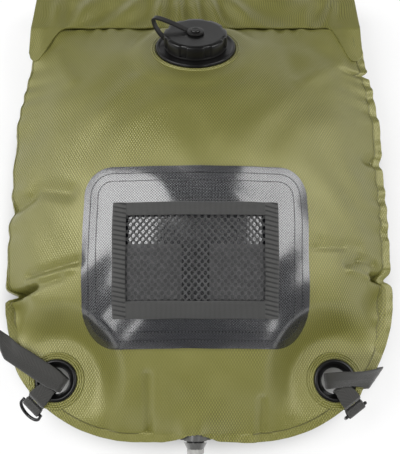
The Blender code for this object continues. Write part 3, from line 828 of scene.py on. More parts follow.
class Finishes:
    """Every material of the bag, made once."""

    def __init__(self) -> None:
        """Make the materials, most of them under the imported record's slot names."""
        rib, gap = (0.050, 0.050, 0.048), (0.012, 0.012, 0.012)
        strap, sunk = (0.040, 0.039, 0.036), (0.018, 0.018, 0.017)
        tapes = (
            RibbedTape("pocket_binding", rib, gap, Weave.PLAIN, 0.0011, relief=0.00012),
            RibbedTape("ribbed_binding", rib, gap, Weave.SLANTED, 0.0042, 0.22, 0.0007),
            RibbedTape("webbing", strap, sunk, Weave.CHEVRON, 0.0016),
        )
        mouldings = (
            Moulding("black_moulding", (0.0045, 0.0043, 0.0042), 0.34, coat=0.12),
            Moulding("polished_moulding", (0.085, 0.085, 0.082), 0.22, coat=1.0),
            Moulding("seal_rubber", (0.02, 0.02, 0.02), 0.7),
            Moulding("tether_rubber", (0.011, 0.0105, 0.010), 0.38),
            Moulding("ring_wire", (0.008, 0.008, 0.008), 0.28, coat=0.4),
        )
        linings = (
            KnitLining("pocket_lining", (0.036, 0.036, 0.037)),
            KnitLining("pocket_net", (0.050, 0.050, 0.050), 0.0007),
            KnitLining("patch_thread", (0.004, 0.004, 0.005), 0.0007),
        )
        # Painted shade: the seam line's darker green stands in for the shade along the seam.
        shade = CoatedFabric("seam_shade", (0.090, 0.088, 0.022), (0.050, 0.049, 0.012))
        sheets = (CoatedFabric(), shade, GlossSheet(), ClearPlastic())
        finishes = (*sheets, *tapes, *mouldings, *linings)
        self.looks = {finish.name: finish.material() for finish in finishes}

    def dress(
        self, piece: Piece, slot: str, body: str = "bag", nodes: Sequence[str] = (), look: str = ""
    ) -> None:
        """Give a piece its material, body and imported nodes, and report it.

        Args:
            piece: The finished mesh.
            slot: The record's material slot.
            body: The body that it rides on, or nothing where it bends between two.
            nodes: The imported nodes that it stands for.
            look: Another finish than the slot's own.
        """
        piece.data.materials.clear()
        piece.data.materials.append(self.looks[look or slot])
        if body:
            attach(piece, body)
        if nodes:
            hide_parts(*nodes)
        LOG.info("%s: %d faces on %s", piece.name, len(piece.data.polygons), body or "two bodies")

    def set_down(
        self, piece: Piece, place: Matrix, edge: Span, slot: str, body: str, node: str
    ) -> None:
        """Round a turned piece's edges, put it in its place and dress it.

        Args:
            piece: The piece, round the Z axis.
            place: Where it goes.
            edge: The rounding's width, and the least angle that it rounds.
            slot: Its material slot.
            body: The body that it rides on.
            node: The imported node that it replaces.
        """
        round_edges(piece, edge[0], 2, edge[1])
        piece.data.transform(place)
        smooth(piece)
        self.dress(piece, slot, body, [node])

    def redress(self, node: str, slot: str) -> None:
        """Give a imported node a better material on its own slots."""
        for held in bpy.data.objects[node].material_slots:
            held.material = self.looks[slot]
        LOG.info("%s: packed node in %s", node, slot)


# The bag's form


@dataclass(frozen=True)
class Crease:
    """A valley or ridge pressed into the front along a straight line in plan."""

    start: tuple[float, float]
    end: tuple[float, float]
    width: float
    rise: float

    def height(self, x: Array, y: Array) -> Array:
        """Give the crease's rise at places in plan.

        Args:
            x: Places across the bag.
            y: Places along it.

        Returns:
            The rise at each place, which fades past the crease's ends.
        """
        run = np.array(self.end) - np.array(self.start)
        length = np.linalg.norm(run)
        run = run / length
        along = (x - self.start[0]) * run[0] + (y - self.start[1]) * run[1]
        aside = (y - self.start[1]) * run[0] - (x - self.start[0]) * run[1]
        past = np.maximum(np.maximum(-along, along - length), 0)
        return self.rise * bell(aside, self.width) * bell(past, self.width)


@dataclass(frozen=True)
class Ripple:
    """A row of waves whose phase wanders, so that no two folds are alike."""

    rate: float
    wander: float
    wander_rate: float
    start: float = 0.0

    def height(self, way: Array, aside: Array, lean: Array | float = 0.0) -> Array:
        """Give the waves' height, from -1 to 1.

        Args:
            way: Places along the row.
            aside: What the phase wanders with.
            lean: What more is added to the phase.

        Returns:
            The height at each place.
        """
        wandering = self.wander * np.sin(aside * self.wander_rate)
        return np.sin(way * self.rate + wandering + lean + self.start)


@dataclass(frozen=True)
class Notch:
    """A place where the filled bag's edge folds in between two lobes."""

    hand: Hand
    y: float
    depth: float
    above: float
    below: float
    reach: float = 0.034

    def pull(self, x: Array, y: Array, edge: Array) -> Array:
        """Give how far places are pulled towards the bag's middle.

        Args:
            x: Places across the bag.
            y: Places along it.
            edge: Half the bag's width at each.

        Returns:
            The pull at each place, none on the other half of the bag.
        """
        beside = np.where(x * self.hand.value > 0, self.depth, 0.0)
        inside = smoothstep((np.abs(x) - edge + self.reach) / self.reach)
        return beside * inside * bell(y - self.y, np.where(y > self.y, self.above, self.below))


@dataclass(frozen=True)
class BagForm:
    """The filled bag's surface, which every soft piece lies on."""

    wall: float = 0.0012
    sheet_gap: float = 0.0003
    body_half_width: float = 0.192
    top_half_width: float = 0.178
    bottom_half_width: float = 0.055
    top_y: float = 0.217
    widest_y: float = 0.085
    corner_start_y: float = -0.080
    bottom_y: float = -0.218
    seam_height: float = 0.050
    bottom_seam_drop: float = 0.002
    front_rise: float = 0.091
    back_drop: float = 0.068
    length_power: float = 2.3
    front_power: float = 2.2
    back_power: float = 2.6
    filler_y: float = 0.171
    filler_tilt: float = math.radians(31)
    filler_flat: float = 0.054
    filler_blend: float = 0.022
    weld_step: float = 0.008
    eyelet_x: float = 0.136
    eyelet_y: float = -0.1685
    eyelet_flat: float = 0.039
    eyelet_blend: float = 0.036
    arch_height: float = 0.0118
    arch_half_width: float = 0.0165
    arch_length: float = 0.035
    swell: float = 0.0011
    swell_across: Ripple = Ripple(71, 2.1, 33)
    swell_along: Ripple = Ripple(58, 1.7, 41, 0.6)
    pucker: float = 0.0010
    side_puckers: Ripple = Ripple(235, 3, 47)
    side_pucker_lean: float = 30
    side_pucker_fade: float = 0.014
    end_puckers: Ripple = Ripple(260, 2.5, 61)
    end_pucker_fade: float = 0.012
    patch_sag: float = 0.0048
    patch_sag_half: float = 0.1035
    patch_sag_start: float = -0.110
    patch_sag_end: float = -0.006
    creases: tuple[Crease, ...] = (
        Crease((-0.160, 0.017), (-0.122, 0.006), 0.0085, -0.0042),
        Crease((-0.162, -0.0705), (-0.110, -0.0630), 0.0048, -0.0036),
        Crease((-0.165, -0.0765), (-0.114, -0.0690), 0.0036, 0.0032),
        Crease((-0.168, -0.0820), (-0.128, -0.0755), 0.0042, -0.0026),
        Crease((-0.196, -0.0860), (-0.158, -0.0830), 0.0046, -0.0085),
        Crease((-0.190, -0.0930), (-0.156, -0.0890), 0.0042, 0.0034),
        Crease((-0.200, 0.002), (-0.166, 0.010), 0.0065, -0.0042),
        Crease((-0.152, 0.182), (-0.130, 0.136), 0.0090, 0.0022),
        Crease((0.145, -0.0610), (0.158, -0.0550), 0.0044, -0.0038),
        Crease((0.163, -0.0540), (0.177, -0.0545), 0.0048, -0.0038),
        Crease((0.181, -0.0570), (0.190, -0.0640), 0.0048, -0.0038),
        Crease((0.147, -0.0660), (0.170, -0.0710), 0.0036, 0.0028),
        Crease((0.170, -0.0710), (0.188, -0.0700), 0.0036, 0.0028),
        Crease((0.204, -0.070), (0.182, -0.067), 0.0050, -0.0070),
        Crease((0.112, -0.0500), (0.142, -0.0460), 0.0034, -0.0018),
        Crease((0.116, -0.0430), (0.160, -0.0420), 0.0050, -0.0012),
        Crease((0.204, 0.058), (0.182, 0.056), 0.0060, -0.0036),
        Crease((-0.045, -0.166), (-0.045, -0.222), 0.0045, -0.0040),
        Crease((0.062, -0.186), (0.062, -0.222), 0.0040, -0.0030),
        Crease((0.184, -0.090), (0.172, -0.128), 0.0200, -0.0100),
        Crease((-0.186, -0.096), (-0.174, -0.130), 0.0200, -0.0100),
        Crease((0.096, 0.186), (0.106, 0.130), 0.0120, -0.0022),
        Crease((0.108, 0.128), (0.158, 0.168), 0.0090, 0.0026),
        Crease((-0.062, 0.196), (-0.058, 0.140), 0.0100, -0.0016),
    )
    notches: tuple[Notch, ...] = (
        Notch(Hand.LEFT, 0.002, 0.0036, 0.008, 0.005),
        Notch(Hand.LEFT, -0.0865, 0.0150, 0.0050, 0.0030),
        Notch(Hand.RIGHT, 0.056, 0.0034, 0.006, 0.006),
        Notch(Hand.RIGHT, -0.0700, 0.0085, 0.0060, 0.0035),
        Notch(Hand.RIGHT, 0.158, 0.0090, 0.0030, 0.0025),
    )

    @property
    def sheet_offset(self) -> float:
        """Give how far each sheet's middle lies from the seam's."""
        return (self.wall + self.sheet_gap) / 2

    def half_width(self, y: Array) -> Array:
        """Give half the width between the side seams.

        Args:
            y: Places along the bag.

        Returns:
            The half width at each.
        """
        taper = smoothstep((y - self.widest_y) / (self.top_y - self.widest_y))
        upper = self.body_half_width + (self.top_half_width - self.body_half_width) * taper
        share = np.clip((self.corner_start_y - y) / (self.corner_start_y - self.bottom_y), 0, 1)
        spread = self.body_half_width - self.bottom_half_width
        lower = self.bottom_half_width + spread * np.sqrt(1 - share**2)
        return np.where(y > self.corner_start_y, upper, lower)

    def seam(self, y: Array) -> Array:
        """Give the seam's height along the bag."""
        return self.seam_height - self.bottom_seam_drop * np.clip(y / self.bottom_y, 0, 1) ** 2

    def fullness(self, x: Array, y: Array, power: float) -> Array:
        """Give how full the bag is, from 0 at its seams to 1 at its middle.

        Args:
            x: Places across the bag.
            y: Places along it.
            power: How square its cross-section is.

        Returns:
            The share at each place.
        """
        middle = (self.top_y + self.bottom_y) / 2
        reach = (self.top_y - self.bottom_y) / 2
        along = 1 - np.clip(np.abs(y - middle) / reach, 0, 1) ** self.length_power
        return along * (1 - np.clip(np.abs(x) / self.half_width(y), 0, 1) ** power)

    def eyelet_share(self, x: Array, y: Array) -> Array:
        """Give how far each place belongs to the flat round an eyelet."""
        reach = np.hypot(np.abs(x) - self.eyelet_x, y - self.eyelet_y)
        return 1 - smoothstep((reach - self.eyelet_flat) / self.eyelet_blend)

    def filler_share(self, x: Array, y: Array) -> Array:
        """Give how far each place belongs to the flat under the filler."""
        reach = np.hypot(x, (y - self.filler_y) / math.cos(self.filler_tilt))
        flat = 1 - smoothstep((reach - self.filler_flat) / self.filler_blend)
        return flat * smoothstep((self.top_y - y) / self.weld_step)

    def arch(self, x: Array, y: Array) -> Array:
        """Give how far a sheet arches away over the outlet."""
        along = smoothstep((self.bottom_y + self.arch_length - y) / self.arch_length)
        return self.arch_height * along * bell(x, self.arch_half_width)

    def plain_front(self, x: Array, y: Array) -> Array:
        """Give the front's height without its flats and folds."""
        rise = self.front_rise * self.fullness(x, y, self.front_power)
        return self.seam(y) + self.sheet_offset + rise

    def height(self, side: Side, x: Array, y: Array) -> Array:
        """Give a sheet's height over the ground.

        Args:
            side: The sheet.
            x: Places across the bag.
            y: Places along it.

        Returns:
            The height at each place.
        """
        rest = self.eyelet_level
        if side is Side.FRONT:
            height = self.plain_front(x, y)
            plane = self.crown - (y - self.filler_y) * math.tan(self.filler_tilt)
            height = height + (plane - height) * self.filler_share(x, y)
            height = height + (rest + self.sheet_offset - height) * self.eyelet_share(x, y)
            return height + self.arch(x, y)
        height = self.seam(y) - self.sheet_offset
        height = height - self.back_drop * self.fullness(x, y, self.back_power)
        height = height + (rest - self.sheet_offset - height) * self.eyelet_share(x, y)
        return np.maximum(height, self.wall / 2) - self.arch(x, y)

    def folds(self, x: Array, y: Array) -> Array:
        """Give how far the front's creases and puckers stand off its form.

        Args:
            x: Places across the bag.
            y: Places along it.

        Returns:
            The rise at each place, none under the rigid fitments.
        """
        rise = sum(crease.height(x, y) for crease in self.creases)
        rise = rise + self.swell * self.swell_across.height(x, y) * self.swell_along.height(y, x)
        side = self.side_puckers.height(y, y, x * self.side_pucker_lean)
        inset = self.half_width(y) - np.abs(x)
        rise = rise + self.pucker * side * np.exp(-np.clip(inset, 0, 1) / self.side_pucker_fade)
        end = self.end_puckers.height(x, x)
        inset = np.minimum(self.top_y - y, y - self.bottom_y)
        rise = rise + self.pucker * end * np.exp(-np.clip(inset, 0, 1) / self.end_pucker_fade)
        return rise * (1 - self.filler_share(x, y)) * (1 - self.eyelet_share(x, y))

    def point(self, side: Side, x: Array, y: Array, off: float | Array = 0.0) -> Array:
        """Give points on or off a sheet, along its own normal.

        Args:
            side: The sheet.
            x: Places across the bag.
            y: Places along it.
            off: How far outside the sheet's middle the points lie.

        Returns:
            One row of three coordinates for each place.
        """
        step = SLOPE_STEP
        slope_x = self.height(side, x + step, y) - self.height(side, x - step, y)
        slope_y = self.height(side, x, y + step) - self.height(side, x, y - step)
        normal = np.stack((-slope_x, -slope_y, np.full_like(x, 2 * step)), axis=1)
        normal *= side.value / np.linalg.norm(normal, axis=1)[:, None]
        if side is Side.FRONT:
            off = off + self.folds(x, y)
        points = np.stack((x, y, self.height(side, x, y)), axis=1)
        points = points + normal * np.broadcast_to(off, x.shape)[:, None]
        edge = self.half_width(y)
        points[:, 0] -= np.sign(x) * sum(notch.pull(x, y, edge) for notch in self.notches)
        return points

    def on_patch(self, x: Array, y: Array, off: float | Array) -> Array:
        """Place points of the patch and pocket, whose top edges sag in the middle.

        Args:
            x: Places across the bag.
            y: Places along the bag before the sag.
            off: How far off the front sheet.

        Returns:
            One point for each place.
        """
        middle = np.clip(1 - (x / self.patch_sag_half) ** 2, 0, 1)
        share = (y - self.patch_sag_start) / (self.patch_sag_end - self.patch_sag_start)
        return self.point(Side.FRONT, x, y - self.patch_sag * middle * smoothstep(share), off)

    def outward(self, x: float, y: float) -> Vector:
        """Give the way out of the outline in plan.

        Args:
            x: A place near the outline.
            y: The same place along the bag.

        Returns:
            A flat unit vector.
        """
        if y <= self.bottom_y + OUTLINE_STEP:
            return Vector((0, -1, 0))
        above, below = self.half_width(np.array([y + OUTLINE_STEP, y - OUTLINE_STEP]))
        slope = (above - below) / (2 * OUTLINE_STEP)
        return Vector((math.copysign(1, x), -slope, 0)).normalized()

    @property
    def crown(self) -> float:
        """Give the height of the filler's seat."""
        return float(self.plain_front(np.zeros(1), np.full(1, self.filler_y))[0])

    def filler_place(self) -> Matrix:
        """Give the filler's seat, whose Z is the cap's axis."""
        place = Matrix.Translation((0, self.filler_y, self.crown))
        return place @ Matrix.Rotation(-self.filler_tilt, 4, "X")

    @property
    def eyelet_level(self) -> float:
        """Give the seam's height at the eyelets."""
        return float(self.seam(np.full(1, self.eyelet_y))[0])

    def eyelet_place(self, hand: Hand) -> Matrix:
        """Give an eyelet's middle, at the seam's height."""
        place = (hand.value * self.eyelet_x, self.eyelet_y, self.eyelet_level)
        return Matrix.Translation(place)


# Reservoir


@dataclass
class Reservoir:
    """The two welded sheets, their free edge and the welds round the fitments."""

    form: BagForm
    finishes: Finishes
    columns: int = 150
    straight_rows: int = 165
    corner_rows: int = 85
    fin: float = 0.008
    fin_step: float = 0.0012
    ruffle: float = 0.0011
    ruffle_pitch: float = 0.0135
    neck_hole: float = 0.0275
    eyelet_hole: float = 0.0188
    rim_room: float = 0.0035
    left_hang: float = math.radians(74)
    right_hang: float = math.radians(14)
    hang_start: float = -0.17
    hang_blend: float = 0.05
    eyelet_weld: float = 0.0210
    eyelet_weld_rings: int = 3
    filler_weld: float = 0.0425
    filler_weld_rings: int = 2
    weld_pitch: float = 0.0022
    weld_steps: int = 6
    weld_rise: float = 0.0011
    weld_groove_share: float = 0.35
    line_steps: int = 260
    line_share: float = 0.992
    line_radius: float = 0.0006

    def rows(self) -> int:
        """Give the number of cells along the sheet."""
        return self.straight_rows + self.corner_rows

    def plan(self, across: Array, along: Array) -> tuple[Array, Array]:
        """Map a unit grid into the seam's outline, with its rows crowded into the corners.

        Args:
            across: Shares across, from the left seam.
            along: Shares along, from the bottom seam.

        Returns:
            Places across and along the bag.
        """
        form = self.form
        bend = self.corner_rows / self.rows()
        angle = math.pi / 2 * (1 - np.clip(along / bend, 0, 1))
        corner = form.corner_start_y + (form.bottom_y - form.corner_start_y) * np.sin(angle)
        share = np.clip((along - bend) / (1 - bend), 0, 1)
        straight = form.corner_start_y + (form.top_y - form.corner_start_y) * share
        y = np.where(along < bend, corner, straight)
        return form.half_width(y) * (2 * across - 1), y

    def hang(self, x: float, y: float) -> float:
        """Give how far the free edge hangs from flat at a place of the outline."""
        share = float(smoothstep(np.array((y - self.hang_start) / self.hang_blend)))
        side = self.left_hang if x < 0 else self.right_hang
        return self.right_hang + (side - self.right_hang) * share

    def add_fin(self, piece: Piece, step: float) -> None:
        """Extrude the free edge outwards by one step.

        Args:
            piece: The sheet before it has its thickness.
            step: How much wider the edge gets.
        """
        form = self.form
        weld = form.top_y - OUTLINE_STEP
        wide = form.top_half_width
        with editing(piece, "DESELECT"):
            for edge in edit_mesh(piece).edges:
                spots = [vertex.co for vertex in edge.verts]
                held = all(spot.y > weld and abs(spot.x) < wide for spot in spots)
                if edge.is_boundary and not held:
                    edge.select_set(True)
            bpy.ops.mesh.extrude_edges_move()
            mesh = edit_mesh(piece)
            cloth = mesh.loops.layers.uv.active
            for vertex in mesh.verts:
                if not vertex.select:
                    continue
                outward = form.outward(vertex.co.x, vertex.co.y)
                width = step
                if outward.x == 0:
                    width *= 1 - bell(vertex.co.x, form.arch_half_width)
                hang = self.hang(vertex.co.x, vertex.co.y)
                for loop in vertex.link_loops:
                    loop[cloth].uv += outward.xy * width
                vertex.co += outward * width * math.cos(hang)
                wave = math.sin(TURN * (vertex.co.y - abs(vertex.co.x)) / self.ruffle_pitch)
                vertex.co.z -= width * math.sin(hang) - self.ruffle * wave * width / self.fin
            bmesh.update_edit_mesh(piece.data)

    def cut_hole(self, piece: Piece, place: Matrix, radius: float) -> None:
        """Open a round hole and pull its rim onto the circle.

        Args:
            piece: The sheet before it has its thickness.
            place: The hole's middle, with its axis along Z.
            radius: The hole's radius.
        """
        inverse = place.inverted()
        with editing(piece, "DESELECT"):
            bpy.ops.mesh.select_mode(type="FACE")
            for face in edit_mesh(piece).faces:
                if (inverse @ face.calc_center_median()).xy.length < radius:
                    face.select_set(True)
            bpy.ops.mesh.delete(type="FACE")
            bpy.ops.mesh.select_mode(type="VERT")
            for vertex in edit_mesh(piece).verts:
                spot = inverse @ vertex.co
                if vertex.is_boundary and spot.xy.length < radius + self.rim_room:
                    spot.xy = spot.xy.normalized() * radius
                    vertex.co = place @ spot
            bmesh.update_edit_mesh(piece.data)

    def sheet(self, side: Side, name: str, node: str) -> None:
        """Build one of the two sheets.

        Args:
            side: Which sheet.
            name: The new piece's name.
            node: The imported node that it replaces.
        """

        def place(across: Array, along: Array) -> Array:
            """Lay the cloth on the bag's form."""
            return self.form.point(side, *self.plan(across, along))

        piece = lay_grid(name, self.columns, self.rows(), place)
        map_cloth(piece, points_of(piece)[:, :2])
        half_fin = (self.fin - self.fin_step) / 2
        for step in (self.fin_step, half_fin, half_fin):
            self.add_fin(piece, step)
        for hand in Hand:
            self.cut_hole(piece, self.form.eyelet_place(hand), self.eyelet_hole)
        if side is Side.FRONT:
            self.cut_hole(piece, self.form.filler_place(), self.neck_hole)
        thicken(piece, self.form.wall, FOLD_ANGLE)
        self.finishes.dress(piece, "coated_fabric", nodes=[node])

    def weld(self, name: str, place: Matrix, inner: float, rings: int) -> None:
        """Build the raised weld rings in the fabric round a fitment.

        Args:
            name: The piece's name.
            place: The fitment's seat, with its axis along Z.
            inner: The radius at which the first ring starts.
            rings: How many ridges there are.
        """
        root = -self.form.wall / 4
        groove = self.weld_groove_share
        profile = [(inner, root)]
        steps = self.weld_steps * rings
        for step in range(steps + 1):
            ridge = abs(math.sin(math.pi * rings * step / steps))
            radius = inner + self.weld_pitch * rings * step / steps
            profile.append((radius, self.weld_rise * (groove + (1 - groove) * ridge)))
        profile += [(inner + self.weld_pitch * rings, root), profile[0]]
        piece = turned(name, profile, FINE_FACETS)
        piece.data.transform(place)
        map_cloth(piece, points_of(piece)[:, :2])
        smooth(piece)
        self.finishes.dress(piece, "coated_fabric")

    def seam_line(self, hand: Hand) -> None:
        """Run the weld's raised line along one edge of the front, in a darker green that is painted
        shade along the seam.

        Args:
            hand: The edge's side.
        """
        along = np.linspace(0.0, 1.0, self.line_steps)
        across = np.full_like(along, (1 + hand.value * self.line_share) / 2)
        x, y = self.plan(across, along)
        points = self.form.point(Side.FRONT, x, y, self.form.wall / 2)
        route = [Vector(point) for point in points]
        wire = bent_wire(f"{hand.word}_seam_line", route, self.line_radius)
        self.finishes.dress(wire, "coated_fabric", look="seam_shade")

    def build(self) -> None:
        """Build both sheets and the welds."""
        form = self.form
        self.sheet(Side.FRONT, "front_sheet", "front_panel")
        self.sheet(Side.BACK, "back_sheet", "back_panel")
        lift = Matrix.Translation((0, 0, form.wall / 2 + form.sheet_offset))
        for hand in Hand:
            seat = form.eyelet_place(hand) @ lift
            self.weld(f"{hand.word}_eyelet_weld", seat, self.eyelet_weld, self.eyelet_weld_rings)
            self.seam_line(hand)
        seat = form.filler_place() @ Matrix.Translation((0, 0, form.wall / 2))
        self.weld("filler_weld", seat, self.filler_weld, self.filler_weld_rings)


# Header


@dataclass
class Header:
    """The folded sleeve above the top weld, with its ears and its seam."""

    form: BagForm
    finishes: Finishes
    half_width: float = 0.186
    length: float = 0.0547
    droop: float = math.radians(21)
    thickness: float = 0.0110
    root: float = 0.0046
    ear_drop: float = 0.043
    left_ear: tuple[float, float] = (0.147, 0.178)
    right_ear: tuple[float, float] = (0.150, 0.174)
    ear_corner: float = 0.012
    pucker: float = 0.0036
    pucker_end: float = 0.178
    pucker_blend: float = 0.03
    puckers: Ripple = Ripple(190, 2.4, 37)
    fan: Ripple = Ripple(23, 0.0, 0.0, 0.6)
    fan_rate: float = 80
    lap_rise: float = 0.0017
    lap_floor: float = 0.0024
    columns: int = 190
    rows: int = 96
    stitch_pitch: float = 0.0032
    stitch_run: float = 0.0026

    def ear(self, x: Array) -> Array:
        """Give how far the front layer reaches below the weld.

        Args:
            x: Places across the header.

        Returns:
            The reach at each place.
        """
        left = smoothstep((-x - self.left_ear[0]) / (self.left_ear[1] - self.left_ear[0]))
        right = smoothstep((x - self.right_ear[0]) / (self.right_ear[1] - self.right_ear[0]))
        past = np.clip((np.abs(x) - self.half_width + self.ear_corner) / self.ear_corner, 0, 1)
        corner = self.ear_corner * (1 - np.sqrt(1 - past**2))
        return (self.ear_drop - corner) * (left + right)

    def place(self, across: Array, along: Array) -> Array:
        """Lead the cloth up the front, round the fold and down the back.

        Args:
            across: Shares across the header.
            along: Shares round the sleeve, from the front's free edge.

        Returns:
            One point for each place.
        """
        form = self.form
        x = self.half_width * (2 * across - 1)
        front = along < 0.5
        share = np.where(front, 2 * along, 2 - 2 * along)
        sign = np.where(front, 1.0, -1.0)
        ear = np.where(front, self.ear(x), 0.0)
        run = -ear + (self.length + ear) * share
        fold = 1 - self.thickness / 2 / self.length
        closing = np.clip((run / self.length - fold) / (1 - fold), 0, 1)
        half = self.root + (self.thickness - self.root) * smoothstep(run / self.length)
        half = half / 2 * np.sqrt(1 - closing**2)
        window = np.sin(math.pi * np.clip(run / self.length, 0, 1))
        window = window * smoothstep((self.pucker_end - np.abs(x)) / self.pucker_blend)
        lean = run * self.fan_rate * self.fan.height(x, x)
        half = half + self.pucker * window * self.puckers.height(x, x, lean)
        start_y = form.top_y + form.wall
        y = start_y + math.cos(self.droop) * run + math.sin(self.droop) * half * sign
        z = form.seam_height - math.sin(self.droop) * run + math.cos(self.droop) * half * sign
        lapped = np.minimum(start_y + run, form.top_y)
        rest = form.height(Side.FRONT, x, lapped) + self.lap_rise
        lap = run < 0
        y = np.where(lap, start_y + run, y)
        z = np.where(lap, np.maximum(rest, form.seam_height + self.lap_floor), z)
        return np.stack((x, y, z), axis=1)

    def build(self) -> None:
        """Build the sleeve and the row of stitches along its root."""
        sleeve = lay_grid("header_cloth", self.columns, self.rows, self.place)
        thicken(sleeve, self.form.wall, FOLD_ANGLE)
        self.finishes.dress(sleeve, "coated_fabric", nodes=["header_sleeve"])
        sewing = Stitches(self.finishes, pitch=self.stitch_pitch)
        stops = np.arange(-self.left_ear[0], self.right_ear[0], sewing.pitch)
        share = np.full_like(stops, self.stitch_run / self.length / 2)
        route = self.place((stops / self.half_width + 1) / 2, share)
        route[:, 2] += self.form.wall / 2
        sewing.build("header_stitches", route, "coated_fabric")


# Stitches


@dataclass
class Stitches:
    """A row of thread stitches along a route on a surface."""

    finishes: Finishes
    pitch: float = 0.0030
    length: float = 0.0021
    thickness: float = 0.00058

    def build(self, name: str, route: Array, slot: str, look: str = "") -> None:
        """Sew one row.

        Args:
            name: The piece's name.
            route: Points along the row, evenly spaced by the stitch's pitch.
            slot: The thread's material slot.
            look: Another finish than the slot's own.
        """
        select_only(None)
        bpy.ops.mesh.primitive_uv_sphere_add(segments=6, ring_count=4, radius=1)
        stitch = new_piece("stitch")
        with editing(stitch):
            bpy.ops.transform.resize(value=(self.length / 2, self.thickness, self.thickness))
        places = []
        for before, after in zip(route, route[1:]):
            run = Vector(after - before)
            turn = run.to_track_quat("X", "Z").to_matrix().to_4x4()
            places.append(Matrix.Translation((before + after) / 2) @ turn)
        piece = repeated(name, stitch, places)
        smooth(piece)
        map_cloth(piece, points_of(piece)[:, :2])
        self.finishes.dress(piece, slot, look=look)


# Front patch and pocket


@dataclass(frozen=True)
class Outline:
    """A rounded rectangle in plan."""

    left: float
    right: float
    bottom: float
    top: float
    low_corner: float = 0.0
    high_corner: float = 0.0
    corner_share: float = 0.22
    corner_points: int = 17

    def plan(self, across: Array, along: Array) -> tuple[Array, Array]:
        """Map a unit grid into the outline, with rows crowded into its corners.

        Args:
            across: Shares from the left edge.
            along: Shares from the bottom edge.

        Returns:
            Places across and along the bag.
        """
        low = math.pi / 2 * np.clip(along / self.corner_share, 0, 1)
        high = math.pi / 2 * np.clip((1 - along) / self.corner_share, 0, 1)
        share = np.clip((along - self.corner_share) / (1 - 2 * self.corner_share), 0, 1)
        start = self.bottom + self.low_corner
        end = self.top - self.high_corner
        straight = start + (end - start) * share
        y = straight - self.low_corner * np.cos(low) + self.high_corner * np.cos(high)
        inset = self.low_corner * (1 - np.sin(low)) + self.high_corner * (1 - np.sin(high))
        x = self.left + inset + (self.right - self.left - 2 * inset) * across
        return x, y

    def rim(self, inset: float, pitch: float) -> Array:
        """Walk round the outline at one distance inside it.

        Args:
            inset: How far inside the edge.
            pitch: The length of each step.

        Returns:
            Places across and along the bag, in order and closed.
        """
        low = self.low_corner - inset
        high = self.high_corner - inset
        centres = (
            (self.right - inset - high, self.top - inset - high, high),
            (self.left + inset + high, self.top - inset - high, high),
            (self.left + inset + low, self.bottom + inset + low, low),
            (self.right - inset - low, self.bottom + inset + low, low),
        )
        corners = []
        for quarter, (x, y, radius) in enumerate(centres):
            for angle in np.linspace(quarter, quarter + 1, self.corner_points) * math.pi / 2:
                corners.append((x + radius * math.cos(angle), y + radius * math.sin(angle)))
        corners.append(corners[0])
        walk = np.array(corners)
        lengths = np.concatenate(([0], np.cumsum(np.linalg.norm(np.diff(walk, axis=0), axis=1))))
        count = round(lengths[-1] / pitch)
        stops = np.linspace(0, lengths[-1], count + 1)
        return np.stack([np.interp(stops, lengths, walk[:, axis]) for axis in (0, 1)], axis=1)


@dataclass
class Layer:
    """A sheet that lies on the bag's front at one height over it."""

    form: BagForm
    outline: Outline
    off: float
    thickness: float
    columns: int = 60
    rows: int = 60
    crown: float = 0.0

    def place(self, across: Array, along: Array) -> Array:
        """Lay the outline on the front, with its middle crowned."""
        x, y = self.outline.plan(across, along)
        bow = (1 - (2 * across - 1) ** 4) * (1 - (2 * along - 1) ** 4)
        return self.form.on_patch(x, y, self.off + self.crown * bow)

    def build(self, name: str) -> Piece:
        """Build the layer.

        Args:
            name: The piece's name.

        Returns:
            The sheet with its thickness, not yet dressed.
        """
        piece = lay_grid(name, self.columns, self.rows, self.place)
        thicken(piece, self.thickness, LAYER_ANGLE)
        return piece


@dataclass
class FrontPatch:
    """The glossy sheet sewn on the front with two rows of stitches."""

    form: BagForm
    finishes: Finishes
    outline: Outline = Outline(-0.1035, 0.1035, -0.141, 0.024, 0.034, 0.028)
    off: float = 0.00195
    thickness: float = 0.0009
    stitch_insets: tuple[float, float] = (0.0066, 0.0140)
    stitch_rise: float = 0.0001

    @property
    def top(self) -> float:
        """Give how far the patch's upper face lies off the front sheet."""
        return self.off + self.thickness / 2

    def build(self) -> None:
        """Build the patch and its stitches."""
        layer = Layer(self.form, self.outline, self.off, self.thickness, columns=130, rows=120)
        patch = layer.build("gloss_patch")
        self.finishes.dress(patch, "gloss_sheet", nodes=["front_patch"])
        sewing = Stitches(self.finishes)
        for number, inset in enumerate(self.stitch_insets, 1):
            rim = self.outline.rim(inset, sewing.pitch)
            route = self.form.on_patch(rim[:, 0], rim[:, 1], self.top + self.stitch_rise)
            sewing.build(f"patch_stitches_{number}", route, "gloss_sheet", "patch_thread")


